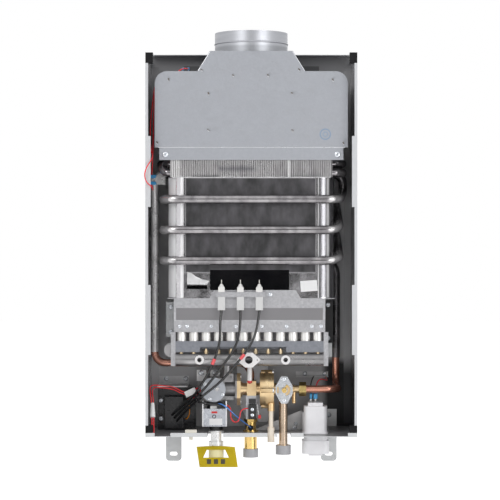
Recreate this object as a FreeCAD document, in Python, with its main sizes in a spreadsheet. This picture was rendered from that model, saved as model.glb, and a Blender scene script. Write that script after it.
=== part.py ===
"""Wall-hung tankless gas water heater, shown with its front cover off.

Frame: +Z up, +X to the right seen from the front, the front faces -Y. The wall is the plane Y = 0, and the
origin lies on it, on the heater's centre line, level with the underside of its floor. All sizes
are millimetres.
"""
import FreeCAD, Part
import math
import os
import re
import Sketcher
from FreeCAD import Placement, Rotation, Vector

doc = FreeCAD.newDocument("tankless_gas_water_heater")
dim = doc.addObject("Spreadsheet::Sheet", "dim")

# Driving sizes: name, value in millimetres (or a count), what it is.
SIZES = (
    # the case
    ("case_width", 340, "outer width over both side panels"),
    ("case_depth", 185, "wall to the front lips"),
    ("side_height", 617, "height of the side panels"),
    ("back_height", 629, "height of the back panel"),
    ("panel_drop", 12, "back panel below the floor"),
    ("sheet", 1.0, "case steel thickness"),
    ("bracket_sheet", 1.5, "bracket steel thickness"),
    ("lip_width", 4.4, "front lip of a side panel"),
    ("lip_tab_width", 8.5, "front lip where the cover hooks on"),
    ("lip_low", 18.4, "lower end of the lip"),
    ("lip_high", 600, "upper end of the lip"),
    ("low_tab_low", 131.6, "lower hook strip, lower end"),
    ("low_tab_high", 243.9, "lower hook strip, upper end"),
    ("high_tab_low", 369, "upper hook strip, lower end"),
    ("high_tab_high", 482.8, "upper hook strip, upper end"),
    ("weld_flange", 12, "rear flange of a side panel"),
    ("weld_inset", 6, "rear flange stops short of the panel's ends by this"),
    ("top_flange", 28, "forward flange on top of the back panel"),
    ("floor_lip", 6.5, "height of the floor panel's front lip"),
    ("floor_clearance", 0.6, "play round what passes the floor"),
    ("lip_left_gap", 129.7, "centre line to the lip's first run on the left"),
    ("lip_corner", 14, "length of the lip's corner tabs"),
    ("lip_right_end", 84, "right end of the lip beside the battery holder"),
    ("clip_width", 12, "corner clip, across"),
    ("clip_depth", 15, "corner clip, front to back"),
    ("clip_wrap", 3, "corner clip, round the panel's edge"),
    ("latch_x", -97, "cover latch"),
    ("latch_width", 18.6, "cover latch, across"),
    ("latch_high", 11, "top of the cover latch"),
    ("latch_nub", 6, "cover latch nub, across and front to back"),
    ("latch_nub_drop", 5.6, "cover latch nub, below the floor"),
    ("wall_bracket_x", 131.7, "centre line to a lower wall bracket"),
    ("wall_bracket_width", 26.6, "lower wall bracket, across"),
    ("wall_bracket_drop", 58.2, "lower wall bracket, below the floor"),
    ("wall_bracket_rise", 30, "lower wall bracket, lap on the back panel"),
    ("wall_slot_drop", 46, "wall slot's middle, below the floor"),
    ("wall_slot_length", 13, "wall slot, end to end"),
    ("wall_slot_width", 6.6, "wall slot, across"),
    ("slot_rim", 2.2, "raised rim round the wall slot, across"),
    ("rib_gap", 5.3, "lower wall bracket's middle to each rib"),
    ("rib_width", 3.4, "rib on a lower wall bracket, across"),
    ("rib_rise", 0.9, "ribs and slot rim, above the bracket's face"),
    ("rib_high", 3, "floor down to the ribs' upper ends"),
    ("rib_low", 18, "floor down to the ribs' lower ends"),
    ("hanger_width", 230, "upper hanger strip, across"),
    ("hanger_low", 560, "upper hanger strip, lower edge"),
    ("hanger_high", 612, "upper hanger strip, upper edge"),
    ("hang_x", 90, "centre line to a hanging keyhole"),
    ("hang_z", 582, "height of the hanging keyholes"),
    ("hang_radius", 5.5, "hanging keyhole, round part"),
    ("hang_slot", 6, "hanging keyhole, slot width"),
    ("hang_rise", 11, "hanging keyhole, slot height"),
    ("hang_window", 26, "window in the back panel round a hanging keyhole"),
    # heat exchanger
    ("chamber_width", 270.8, "combustion chamber, across"),
    ("chamber_front", 160, "wall to the chamber's front face"),
    ("chamber_rear", 30, "wall to the chamber's rear face"),
    ("chamber_low", 222, "bottom of the chamber"),
    ("chamber_high", 418, "top of the chamber, where the fins begin"),
    ("chamber_round", 26, "chamber's upright corner radius"),
    ("chamber_sheet", 0.8, "chamber wall"),
    ("window_x", -2.8, "sight window"),
    ("window_width", 128, "sight window, across"),
    ("window_low", 235.2, "sight window, lower edge"),
    ("window_high", 267.7, "sight window, upper edge"),
    ("pane_lap", 4, "window pane, beyond its opening"),
    ("pane", 1.2, "window pane thickness"),
    ("vent_x", -87.7, "vent slot left of the window"),
    ("vent_width", 32, "vent slot, across"),
    ("vent_low", 237, "vent slot, lower edge"),
    ("vent_height", 5.6, "vent slot, height"),
    ("fin_width", 262, "fin block, across"),
    ("fin_high", 472, "top of the fin block"),
    ("fin_pitch", 3.6, "fin spacing"),
    ("fin_sheet", 0.5, "fin thickness"),
    ("fin_edge", 2.9, "folded edge of a fin"),
    ("tube_diameter", 14, "exchanger tube, outside"),
    ("pipe_wall", 0.9, "wall of every water pipe"),
    ("tube_rear_y", 50, "wall to the rear tube of the lower row"),
    ("tube_pitch", 30, "tube spacing in a row"),
    ("tube_low_z", 426, "height of the lower tube row"),
    ("tube_high_z", 441, "height of the upper tube row"),
    ("tube_stagger", 16, "upper row, in front of the lower row's rear tube"),
    ("tube_end", 3, "tube end beyond the fin block"),
    ("coil_gap", 0.3, "coil to chamber wall"),
    ("coil_low", 283, "height of the lowest turn"),
    ("coil_pitch", 49.4, "turn spacing"),
    ("coil_bend", 24, "bend radius of the turns"),
    ("coil_riser_gap", 22, "fin block to the coil's riser"),
    ("pipe_diameter", 12, "connecting pipe, outside"),
    ("pipe_bend", 20, "bend radius of the connecting pipes"),
    ("feed_joint_z", 119, "height where coil and bare feed pipe meet"),
    ("return_gap", 11, "case side to the hot return pipe's middle"),
    ("return_y", 94, "wall to the hot return pipe"),
    ("return_joint_z", 132, "height where the tinned return pipe ends"),
    ("return_low_z", 113.9, "height of the hot pipe's level run"),
    # draught hood
    ("hood_sheet", 0.8, "hood steel thickness"),
    ("hood_front", 163, "wall to the hood's front face"),
    ("hood_rear", 27, "wall to the hood's rear face"),
    ("hood_width", 312, "hood front plate, across"),
    ("hood_shoulder", 589, "top of the hood's wings"),
    ("hood_round", 20, "corner radius of the wings"),
    ("neck_base", 173, "neck, across at the wings"),
    ("neck_width", 134.4, "neck, across at its top"),
    ("neck_high", 621.7, "top of the neck"),
    ("strip_width", 297.2, "clamp strip, across"),
    ("strip_low", 445.4, "clamp strip, lower edge"),
    ("strip_high", 465.6, "clamp strip, upper edge"),
    ("hood_side_x", 150, "centre line to the hood's side sheets"),
    ("hood_side_high", 556, "top of the side sheets, where the draught gap begins"),
    ("roof_end_z", 573.6, "roof's height at its outer ends"),
    ("baffle_half", 68, "centre line to a baffle leg"),
    ("baffle_low", 484, "lower edge of the baffle"),
    ("baffle_knee", 556, "height where the baffle turns in"),
    ("baffle_top_half", 28.3, "centre line to the baffle's top corner"),
    ("baffle_high", 584, "top of the baffle"),
    ("hood_screw_x", 139, "centre line to a hood screw"),
    ("hood_screw_z", 454.2, "height of the hood screws"),
    ("spill_x", -108, "overheat switch"),
    ("spill_y", 100, "wall to the overheat switch"),
    ("collar_diameter", 120, "flue spigot, outside"),
    ("collar_wall", 0.8, "flue spigot wall"),
    ("collar_height", 34.7, "flue spigot, height"),
    ("collar_bead_rise", 16.7, "stop bead above the neck"),
    ("collar_bead", 1.5, "stop bead radius"),
    ("collar_foot", 3.5, "foot ring, beyond the spigot"),
    # burner
    ("burner_x", -2.8, "burner's centre line"),
    ("burner_half", 121, "half width over the burner frame"),
    ("frame_front", 154, "wall to the frame's front edge"),
    ("frame_rear", 38, "wall to the frame's rear face"),
    ("frame_mid", 150, "lower edge of the frame's side sheets"),
    ("leg_low", 112, "lower end of the frame's front legs"),
    ("leg_depth", 23, "front leg, front to back"),
    ("leg_flange", 6.5, "outward flange at the legs' front"),
    ("plate_fold", 206, "height where the front plate folds back"),
    ("plate_strip_high", 185.5, "upper edge of its lower strip"),
    ("plate_strip_low", 167, "lower edge of its lower strip"),
    ("plate_half", 122.5, "half width of the front plate"),
    ("shield_left", -60, "raised middle of the front plate, left"),
    ("shield_right", 72, "raised middle of the front plate, right"),
    ("shield_flare", 8, "raised middle, slope of its ends"),
    ("bar_count", 12, "number of burner bars"),
    ("bar_pitch", 20.15, "burner bar spacing"),
    ("bar_width", 12, "burner bar, across"),
    ("bar_low", 176, "underside of a bar's body"),
    ("bar_high", 206, "top of a bar's body"),
    ("bar_front", 151, "wall to a bar's front end"),
    ("barrel_radius", 7.7, "venturi barrel radius"),
    ("barrel_bore", 6.6, "venturi barrel bore radius"),
    ("barrel_y", 143, "wall to the barrels"),
    ("barrel_low", 150, "mouth of the barrels"),
    ("port_slots", 14, "flame slots on a bar"),
    ("trough_low", 134.6, "lower edge of the air trough's front"),
    ("trough_high", 152.4, "top of the air trough"),
    ("trough_depth", 24, "trough, front to back"),
    ("trough_notch_left", -83.1, "notch in the trough's front, left"),
    ("trough_notch_right", 56.4, "notch in the trough's front, right"),
    ("trough_notch_high", 143, "notch in the trough's front, top"),
    ("manifold_y", 150, "wall to the gas manifold's axis"),
    ("manifold_z", 122.4, "height of the gas manifold's axis"),
    ("manifold_radius", 10.3, "gas manifold, outside"),
    ("manifold_bore", 8, "gas manifold, bore radius"),
    ("port_left_x", -83.8, "left port"),
    ("port_right_x", 55.4, "right port"),
    ("port_radius", 7.4, "side port boss radius"),
    ("port_bore", 3.6, "side port socket radius"),
    ("port_front", 164, "wall to the face of the side ports"),
    ("pad_x", -4, "middle flange"),
    ("pad_front", 166, "wall to the face of the middle flange"),
    ("pad_thick", 3, "middle flange thickness"),
    ("pad_half", 19.8, "middle flange, half width"),
    ("pad_rise", 12, "middle flange, half height"),
    ("pad_bore", 6.2, "middle flange socket radius"),
    ("nozzle_radius", 3.3, "gas nozzle, corner radius"),
    ("nozzle_seat_z", 132.0, "seat of the gas nozzles on the manifold"),
    ("nozzle_high", 140, "tip of the gas nozzles"),
    ("nozzle_shank", 2, "gas nozzle thread radius"),
    ("ear_left_x", 139.6, "centre line to the left bracket's outer edge"),
    ("ear_left_y", 120, "wall to the left bracket"),
    ("ear_left_low", 157.5, "left bracket, lower edge"),
    ("ear_left_high", 214.8, "left bracket, upper edge"),
    ("ear_right_x", 134.7, "centre line to the right bracket's outer edge"),
    ("ear_right_y", 100, "wall to the right bracket"),
    ("ear_right_low", 146.7, "right bracket, lower edge"),
    ("ear_right_high", 217.6, "right bracket, upper edge"),
    ("standoff_z", 137, "height of the front standoffs"),
    ("standoff_y", 137, "wall to the standoffs' front face"),
    ("standoff_disc", 11.4, "left standoff's disc radius"),
    ("standoff_disc_x", -130.8, "left standoff"),
    ("standoff_block", 11.4, "right standoff's half height"),
    ("standoff_reach", 131.6, "right standoff's outer side"),
    ("standoff_rod", 4, "standoff rod radius"),
    ("electrode_x", -17.6, "middle electrode"),
    ("electrode_pitch", 30.5, "spacing of the electrodes"),
    ("electrode_width", 10.4, "ceramic body, across"),
    ("electrode_depth", 12, "ceramic body, front to back"),
    ("electrode_high", 240, "top of the ceramic body"),
    ("electrode_neck", 245, "top of the ceramic neck"),
    ("electrode_tip", 252, "tip of the electrode wire"),
    ("boot_width", 12, "plug boot, across"),
    ("boot_low", 203, "lower end of the plug boots"),
    ("boot_high", 224.3, "upper end of the plug boots"),
    ("clamp_high", 232.3, "upper edge of the electrode clamp"),
    ("clamp_foot", 14, "clamp foot with its screw"),
    # gas valve
    ("gas_x", -59.8, "gas valve"),
    ("gas_half", 16.5, "gas valve body, half width"),
    ("gas_front", 130, "wall to the gas valve body's front"),
    ("gas_rear", 86, "wall to the gas valve body's rear"),
    ("gas_low", 54, "underside of the gas valve body"),
    ("gas_high", 91, "top of the gas valve body"),
    ("gas_corner", 8, "corner radius of the gas valve body, seen from the front"),
    ("ear_x", -29, "right end of the gas valve body's cast ears"),
    ("ear_front", 126, "wall to the front of the cast ears"),
    ("ear_top", 98, "top of the upper cast ear"),
    ("ear_rise", 14, "upper cast ear, up and down"),
    ("ear_lower", 61, "top of the lower cast ear"),
    ("cover_x", -61.9, "cover disc"),
    ("cover_z", 72, "height of the cover disc"),
    ("cover_radius", 20, "cover disc radius"),
    ("cover_thick", 4, "cover disc thickness"),
    ("gas_spindle_x", -55.4, "gas selector spindle"),
    ("gas_spindle_z", 73.4, "height of the gas selector spindle"),
    ("gas_spindle_radius", 3, "gas selector spindle radius"),
    ("gas_spindle_reach", 9, "gas selector spindle before the cover"),
    ("run_clearance", 0.08, "running clearance round spindles, rods and pins"),
    ("gas_neck", 11, "gas valve neck radius"),
    ("riser_x", -40, "gas riser"),
    ("riser_y", 113, "wall to the gas riser"),
    ("riser_radius", 7, "gas riser radius"),
    ("riser_bend", 13, "gas riser bend radius"),
    ("joint_x", -23.4, "face where the gas and water valves meet"),
    ("gas_pipe_x", -57.9, "gas inlet"),
    ("gas_pipe_y", 97, "wall to the gas inlet"),
    ("gas_pipe_radius", 9, "gas inlet pipe radius"),
    ("gas_bore", 6.5, "gas inlet bore radius"),
    ("gas_ring", 12, "ring on the gas inlet, radius"),
    ("gas_ring_low", -26.9, "underside of that ring"),
    ("gas_ring_high", -15.4, "top of that ring"),
    ("thread_radius", 10.4, "half inch pipe thread, outside radius"),
    ("thread_bore", 7.5, "bore radius behind that thread"),
    ("gas_end", -40, "lower end of the gas inlet"),
    ("cap_wall", 1.8, "wall of the transport caps"),
    ("cap_clearance", 0.3, "transport cap to thread"),
    ("solenoid_y", 123, "wall to the solenoid's axis"),
    ("frame_half", 20, "solenoid frame, half width"),
    ("frame_low", 12.6, "solenoid frame, lower edge"),
    ("frame_sheet", 2, "solenoid frame thickness"),
    ("frame_front_high", 41.5, "upper edge of the solenoid frame's front"),
    ("bobbin_left", 6.8, "bobbin's raised block, left of the solenoid's middle"),
    ("bobbin_right", 3.8, "bobbin's raised block, right of the solenoid's middle"),
    ("bobbin_high", 45.6, "top of the bobbin's raised block"),
    ("winding_radius", 14, "solenoid winding radius"),
    ("winding_low", 18, "solenoid winding, lower end"),
    ("winding_high", 50, "solenoid winding, upper end"),
    ("plunger_radius", 4.8, "solenoid plunger radius"),
    ("plunger_low", 32, "plunger's lower end"),
    ("plunger_high", 58, "plunger's upper end"),
    ("plunger_travel", 3, "plunger travel"),
    ("boot_taper_high", 11.5, "top of the inlet boot"),
    ("boot_taper_low", 2.7, "bottom of the inlet boot"),
    ("gas_tab_left", -91, "gas valve's stay, left"),
    ("gas_tab_width", 16, "each upright tab of that stay, across"),
    ("gas_tab_pitch", 22.5, "spacing of those tabs"),
    ("gas_tab_high", 100, "gas valve's stay, top"),
    ("gas_tab_low", 83.1, "gas valve's stay, bottom"),
    ("gas_tab_y", 60, "wall to the stay's upright face"),
    ("tag_left", -90, "hanging tag, left"),
    ("tag_right", -25, "hanging tag, right"),
    ("tag_high", -22, "hanging tag, upper edge"),
    ("tag_low", -56.7, "hanging tag, lower edge"),
    ("tag_sheet", 0.8, "hanging tag thickness"),
    ("tag_y", 111, "wall to the hanging tag"),
    # water valve
    ("valve_y", 115, "wall to the water valve's axis"),
    ("valve_z", 72, "height of the water valve's axis"),
    ("flange_thick", 5.8, "flange towards the gas valve"),
    ("flange_rise", 26, "that flange, half height"),
    ("flange_half", 14, "that flange, half depth"),
    ("neck_radius", 9.9, "valve neck radius"),
    ("switch_block_left", -7, "square block on the neck, left"),
    ("switch_block_right", 8, "square block on the neck, right"),
    ("switch_block_half", 13.9, "square block, half height"),
    ("housing_left", 14, "membrane housing, left face"),
    ("housing_right", 36.8, "membrane housing, right face"),
    ("housing_radius", 27, "membrane housing radius"),
    ("housing_cavity", 23, "membrane chamber radius"),
    ("housing_wall", 4, "membrane chamber's end walls"),
    ("housing_flange", 5, "joint flange between the housing halves"),
    ("lug_rise", 27.5, "housing screws, above and below the axis"),
    ("lug_radius", 4, "housing screw lug radius"),
    ("membrane_radius", 21, "membrane plate radius"),
    ("membrane_thick", 2.4, "membrane plate thickness"),
    ("membrane_rest_x", 30, "membrane plate at rest, right face"),
    ("rod_radius", 2, "push rod radius"),
    ("rod_left", -46, "push rod's left end at rest"),
    ("rod_travel", 4, "push rod travel"),
    ("selector_x", 53.5, "flow selector"),
    ("selector_radius", 13, "flow selector housing radius"),
    ("selector_front", 138, "wall to the selector housing's face"),
    ("selector_rear", 98, "wall to the selector housing's rear"),
    ("selector_plate", 2, "selector plate thickness"),
    ("selector_plate_half", 13.9, "selector plate, half width"),
    ("selector_plate_rise", 22.2, "selector plate, half height"),
    ("selector_spindle", 4, "selector spindle radius"),
    ("selector_reach", 8, "selector spindle before its plate"),
    ("selector_depth", 24, "selector spindle inside its housing"),
    ("pin_radius", 1.2, "selector's stop pin radius"),
    ("pin_orbit", 8, "stop pin to the selector's axis"),
    ("pin_play", 1.0, "stop pin to the sides of its slot"),
    ("cold_x", 52.5, "cold water inlet"),
    ("cold_pipe_radius", 7, "cold inlet pipe radius"),
    ("cold_thread_high", -19, "top of the cold inlet's thread"),
    ("cold_end", -33, "lower end of the cold inlet"),
    ("cold_cap_high", -19.8, "top of the cold inlet's cap"),
    ("hot_x", -1, "hot water outlet"),
    ("hot_y", 97, "wall to the hot water outlet"),
    ("hot_top", 24, "top of the hot outlet tube"),
    ("hot_thread_high", -2, "top of the hot outlet's thread"),
    ("hot_end", -39.5, "lower end of the hot outlet"),
    ("hot_cap_high", -27.4, "top of the hot outlet's cap"),
    ("sensor_z", 7.6, "height of the outlet sensor"),
    ("sensor_radius", 4.6, "outlet sensor radius"),
    ("nipple_radius", 6, "valve nipple radius"),
    ("nut_x", 78.3, "union nut, left face"),
    ("nut_length", 11.5, "union nut length"),
    ("nut_radius", 12.4, "union nut, corner radius"),
    ("drain_x", 32.2, "drain screw"),
    ("drain_y", 125, "wall to the drain screw"),
    ("drain_radius", 3.8, "drain screw shank"),
    ("drain_bite", 9, "drain screw inside its neck"),
    ("drain_neck", 5.6, "drain neck radius"),
    ("drain_neck_low", 37, "lower end of the drain neck"),
    ("drain_knob", 5.7, "drain knob radius"),
    ("drain_knob_high", 10, "top of the drain knob"),
    ("drain_low", -14, "lower end of the drain knob"),
    ("switch_left", -5, "micro switch, left side"),
    ("switch_right", 8.2, "micro switch, right side"),
    ("switch_low", 24.6, "micro switch, lower end"),
    ("switch_high", 48.2, "micro switch, upper end"),
    ("switch_depth", 11, "micro switch, front to back"),
    ("switch_plate", 1.2, "micro switch bracket thickness"),
    ("lever_pivot_z", 47, "height of the lever's pivot"),
    ("lever_low", 31.3, "lower end of the lever's blade"),
    ("lever_tip_low", 25.6, "lower end of the lever's tip"),
    ("lever_lean", 3, "lever's lean at rest"),
    ("adjuster_x", -2.7, "adjusting rod"),
    ("adjuster_radius", 4.1, "adjusting rod radius"),
    ("adjuster_high", 109.8, "top of the adjusting rod"),
    ("adjuster_low", 87.2, "bottom of the adjusting rod"),
    ("adjuster_tip", 82, "bottom of its tip"),
    # electrics
    ("cell_x", 104.9, "battery"),
    ("cell_y", 120, "wall to the battery's axis"),
    ("cell_radius", 17.1, "battery radius"),
    ("cell_length", 61.5, "battery length"),
    ("cell_low", -29.5, "battery's lower end"),
    ("holder_play", 0.5, "battery to holder"),
    ("holder_wall", 1.4, "holder wall"),
    ("holder_low", -10.6, "lower edge of the holder"),
    ("holder_high", 45.2, "top of the holder"),
    ("holder_round", 9, "holder's upright corner radius"),
    ("tray_half", 22, "battery cap, half width"),
    ("tray_low", -31.8, "underside of the battery cap"),
    ("tray_foot", 3.9, "grip under the battery cap"),
    ("control_left", -155, "control unit, left edge"),
    ("control_right", -92, "control unit, right edge"),
    ("control_high", 72, "control unit, top"),
    ("control_rear", 58, "wall to the control unit's back"),
    ("control_face", 70, "wall to its base's front"),
    ("lid_left", -144.3, "control lid, left edge"),
    ("lid_right", -111.9, "control lid, right edge"),
    ("lid_low", 5.6, "control lid, lower edge"),
    ("lid_high", 57.1, "control lid, upper edge"),
    ("lid_front", 88, "wall to the control lid's front"),
    ("stay_left_x", -156, "left stay, left end"),
    ("stay_left_end", -106, "left stay, right end"),
    ("stay_left_high", 86, "left stay, top"),
    ("stay_right_x", 75.7, "right stay, left end"),
    ("stay_right_end", 130.4, "right stay, right end"),
    ("stay_right_low", 84.9, "right stay, underside"),
    ("stay_right_high", 93.7, "right stay, top"),
    ("stay_right_y", 17, "wall to the right stay's edge"),
    ("gusset_y", 70, "wall to the battery gusset"),
    ("pipe_plate_left", -24.2, "plate behind the water valve, left edge"),
    ("pipe_plate_right", 28.5, "its right edge"),
    ("pipe_plate_high", 150, "its upper edge"),
    ("pipe_plate_slant", 46, "upper end of its slanted corner"),
    ("pipe_plate_step", 14, "its lower edge on the left"),
    ("pipe_plate_low", 8, "its lower edge on the right"),
    ("pipe_plate_round", 3, "its corner radius"),
    ("gusset_left", 8, "battery gusset, left end"),
    ("gusset_high", 33, "battery gusset, top"),
    ("lead_diameter", 4, "ignition lead"),
    ("route_side", 145, "centre line to where cords begin to follow the left side"),
    ("route_half", 170, "half width of the case as the cord routes below are drawn"),
    ("wire_diameter", 1.8, "low voltage wire"),
    ("marker_radius", 2.7, "marker sleeve radius"),
    ("screw_head", 4, "screw head radius"),
    ("screw_shank", 1.9, "screw shank radius"),
    ("screw_high", 2.2, "screw head height"),
)
for row, (alias, number, meaning) in enumerate(SIZES, 1):
    dim.set(f"A{row}", meaning)
    dim.set(f"B{row}", str(number))
    dim.setAlias(f"B{row}", alias)
doc.recompute()

NODES = []


def formula(text):
    """The formula with the sheet's name in front of each size."""
    return re.sub(r"\b[a-z]\w*\b(?!\()", lambda word: "dim." + word.group(), str(text))


def value(text):
    """The number that a formula gives."""
    return float(dim.evalExpression(formula(text)))


def point(x, y, z):
    """A point whose three coordinates are formulas."""
    return Vector(value(x), value(y), value(z))


def bind(thing, **sizes):
    """Binds properties of a feature to formulas; a double underscore stands for a dot."""
    for name, text in sizes.items():
        thing.setExpression(name.replace("__", "."), formula(text))


def put(thing, x, y, z):
    """Binds where a feature stands."""
    bind(thing, Placement__Base__x=x, Placement__Base__y=y, Placement__Base__z=z)


def add(kind, stem):
    """A new feature under a name that is still free."""
    count = 1
    while doc.getObject(f"{stem}_{count}"):
        count += 1
    return doc.addObject(kind, f"{stem}_{count}")


def node(label, thing):
    """Makes a feature one of the heater's named pieces."""
    thing.Label = label
    NODES.append(thing)
    return thing


def block(x, y, z):
    """A box between (low, high) formulas along each axis."""
    box = add("Part::Box", "block")
    bind(box, Length=f"({x[1]}) - ({x[0]})", Width=f"({y[1]}) - ({y[0]})", Height=f"({z[1]}) - ({z[0]})")
    put(box, x[0], y[0], z[0])
    return box


TURNS = {"x": Rotation(Vector(0, 1, 0), 90), "y": Rotation(Vector(1, 0, 0), -90), "z": Rotation()}


def along(thing, axis, centre, low):
    """Stands a round feature on its axis: centre holds the two other coordinates, low the start."""
    thing.Placement = Placement(Vector(), TURNS[axis])
    across = dict(zip([name for name in "xyz" if name != axis], centre))
    across[axis] = low
    put(thing, across["x"], across["y"], across["z"])
    return thing


def rod(axis, centre, span, radius):
    """A cylinder on an axis, from span[0] to span[1]."""
    cylinder = add("Part::Cylinder", "rod")
    bind(cylinder, Radius=radius, Height=f"({span[1]}) - ({span[0]})")
    return along(cylinder, axis, centre, span[0])


def cone(axis, centre, span, radius_low, radius_high):
    """A cone on an axis, with its radius at span[0] and at span[1]."""
    tapered = add("Part::Cone", "cone")
    bind(tapered, Radius1=radius_low, Radius2=radius_high, Height=f"({span[1]}) - ({span[0]})")
    return along(tapered, axis, centre, span[0])


def hexagon(axis, centre, span, radius):
    """A six-sided prism on an axis."""
    prism = add("Part::Prism", "hexagon")
    prism.Polygon = 6
    bind(prism, Circumradius=radius, Height=f"({span[1]}) - ({span[0]})")
    return along(prism, axis, centre, span[0])


def ring(centre_x, centre_y, height, radius, section):
    """A level ring of round section."""
    torus = add("Part::Torus", "ring")
    bind(torus, Radius1=radius, Radius2=section)
    put(torus, centre_x, centre_y, height)
    return torus


def join(*parts):
    """One piece out of several that touch or overlap."""
    fused = add("Part::MultiFuse", "join")
    fused.Shapes = list(parts)
    return fused


def cut(base, *tools):
    """The base with the tools taken away."""
    taken = add("Part::Cut", "cut")
    taken.Base = base
    taken.Tool = tools[0] if len(tools) == 1 else join(*tools)
    return taken


def group(*parts):
    """Separate pieces that share one node."""
    together = add("Part::Compound", "group")
    together.Links = list(parts)
    return together


def rounded(base, radius, picks):
    """The base with the straight edges that picks(edge) chooses rounded."""
    doc.recompute()
    edges = [
        (number, value(radius), value(radius))
        for number, edge in enumerate(base.Shape.Edges, 1)
        if isinstance(edge.Curve, Part.Line) and picks(edge)
    ]
    softened = add("Part::Fillet", "rounded")
    softened.Base = base
    softened.Edges = edges
    return softened


def upright(edge):
    """Whether an edge runs along Z."""
    return abs(edge.tangentAt(edge.FirstParameter).z) > 0.999


def feature(shape):
    """A feature whose shape is worked out here from the sheet's sizes."""
    made = add("Part::Feature", "feature")
    made.Shape = shape
    return made


def plate(plane, corners, start, thickness):
    """A padded sketch through corner formulas.

    An XZ plate pads towards -Y, a YZ plate towards +X and an XY plate towards +Z; start is how far along
    that way it begins.
    """
    body = add("PartDesign::Body", "plate")
    sketch = body.newObject("Sketcher::SketchObject", body.Name + "_outline")
    origin = next(item for item in body.Origin.OriginFeatures if item.Role == plane + "_Plane")
    sketch.AttachmentSupport = (origin, "")
    sketch.MapMode = "FlatFace"
    bind(sketch, AttachmentOffset__Base__z=start)
    places = [Vector(value(across), value(up), 0) for across, up in corners]
    for first, second in zip(places, places[1:] + places[:1]):
        sketch.addGeometry(Part.LineSegment(first, second), False)
    count = len(places)
    for index in range(count):
        sketch.addConstraint(Sketcher.Constraint("Coincident", index, 2, (index + 1) % count, 1))
    for index, texts in enumerate(corners):
        for kind, text, number in zip(("DistanceX", "DistanceY"), texts, places[index]):
            spot = sketch.addConstraint(Sketcher.Constraint(kind, -1, 1, index, 1, number))
            sketch.setExpression(f"Constraints[{spot}]", formula(text))
    pad = body.newObject("PartDesign::Pad", body.Name + "_pad")
    pad.Profile = sketch
    bind(pad, Length=thickness)
    return body


def mirrored(side, low, high):
    """A (low, high) pair on the right side, or its mirror image on the left."""
    return (low, high) if side > 0 else (f"-({high})", f"-({low})")


def route(points, bend):
    """Straight runs joined by tangent arcs, each as large as bend or its two runs allow."""
    edges = []
    start = points[0]
    last = len(points) - 2
    for index in range(1, last + 1):
        corner = points[index]
        back = points[index - 1] - corner
        ahead = points[index + 1] - corner
        room = min(back.Length * (0.95 if index == 1 else 0.48),
                   ahead.Length * (0.95 if index == last else 0.48))
        half_turn = (math.pi - back.getAngle(ahead)) / 2
        reach = min(bend * math.tan(half_turn), room)
        radius = reach / math.tan(half_turn)
        back.normalize()
        ahead.normalize()
        enter = corner + back * reach
        leave = corner + ahead * reach
        middle = (back + ahead).normalize()
        crown = corner + middle * (radius / math.cos(half_turn) - radius)
        edges.append(Part.LineSegment(start, enter).toShape())
        edges.append(Part.Arc(enter, crown, leave).toShape())
        start = leave
    edges.append(Part.LineSegment(start, points[-1]).toShape())
    return Part.Wire(edges)


def swept(points, radius, bend, bore=0):
    """A round rod or tube along a route."""
    path = route(points, bend)
    heading = points[1] - points[0]
    skins = []
    for size in (radius, bore):
        if size:
            circle = Part.Wire([Part.makeCircle(size, points[0], heading)])
            skins.append(path.makePipeShell([circle], True, False))
    return skins[0].cut(skins[1]) if bore else skins[0]


def pipe(points, diameter, bend, bore=True):
    """A water pipe along a route, with its sizes from the sheet."""
    radius = value(diameter) / 2
    return feature(swept(points, radius, value(bend), radius - value("pipe_wall") if bore else 0))


def screw(place, facing, length=6, size=1.0):
    """A pan-head screw: place is under its head, facing the way that the head looks."""
    high = value("screw_high") * size
    head = Part.makeCylinder(value("screw_head") * size, high)
    rim = [edge for edge in head.Edges if edge.Closed and edge.CenterOfMass.z > high / 2]
    head = head.makeFillet(high * 0.6, rim)
    shank = Part.makeCylinder(value("screw_shank") * size, length, Vector(), Vector(0, 0, -1))
    cross = [
        Part.makeBox(4.4 * size, 0.9 * size, high / 2, Vector(-2.2 * size, -0.45 * size, high / 2)),
        Part.makeBox(0.9 * size, 4.4 * size, high / 2, Vector(-0.45 * size, -2.2 * size, high / 2)),
    ]
    whole = head.fuse(shank).cut(cross[0]).cut(cross[1])
    whole.Placement = Placement(place, Rotation(Vector(0, 0, 1), Vector(*facing)))
    return whole


def shanks(places, axis, depth):
    """Holes for screws at (formula, formula) places along an axis."""
    return [rod(axis, place, depth, "screw_shank") for place in places]


INNER = "(case_width/2 - sheet)"
LIP_BACK = "-case_depth + sheet"


def back_panel():
    """Back panel with its top flange and the windows behind the hanging keyholes."""
    panel = block((f"-{INNER}", INNER), ("-sheet", "0"), ("-panel_drop", "back_height"))
    flange = block((f"-{INNER}", INNER), ("-top_flange", "-sheet"), ("back_height - sheet", "back_height"))
    windows = [
        block(
            (f"{side}*hang_x - hang_window/2", f"{side}*hang_x + hang_window/2"),
            ("-2*sheet", "sheet"),
            ("hang_z - hang_window/2", "hang_z + hang_window/2 + hang_rise/2"),
        )
        for side in (-1, 1)
    ]
    return cut(join(panel, flange), *windows)


def hanger():
    """Strip with the two keyholes that hang the heater on the wall."""
    strip = block(("-hanger_width/2", "hanger_width/2"), ("-sheet - bracket_sheet", "-sheet"),
                  ("hanger_low", "hanger_high"))
    through = ("-2*sheet - bracket_sheet", "sheet")
    tools = []
    for side in (-1, 1):
        middle = f"{side}*hang_x"
        tools.append(rod("y", (middle, "hang_z"), through, "hang_radius"))
        tools.append(rod("y", (middle, "hang_z + hang_rise"), through, "hang_slot/2"))
        tools.append(block((f"{middle} - hang_slot/2", f"{middle} + hang_slot/2"), through,
                           ("hang_z", "hang_z + hang_rise")))
    return cut(strip, *tools)


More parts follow.
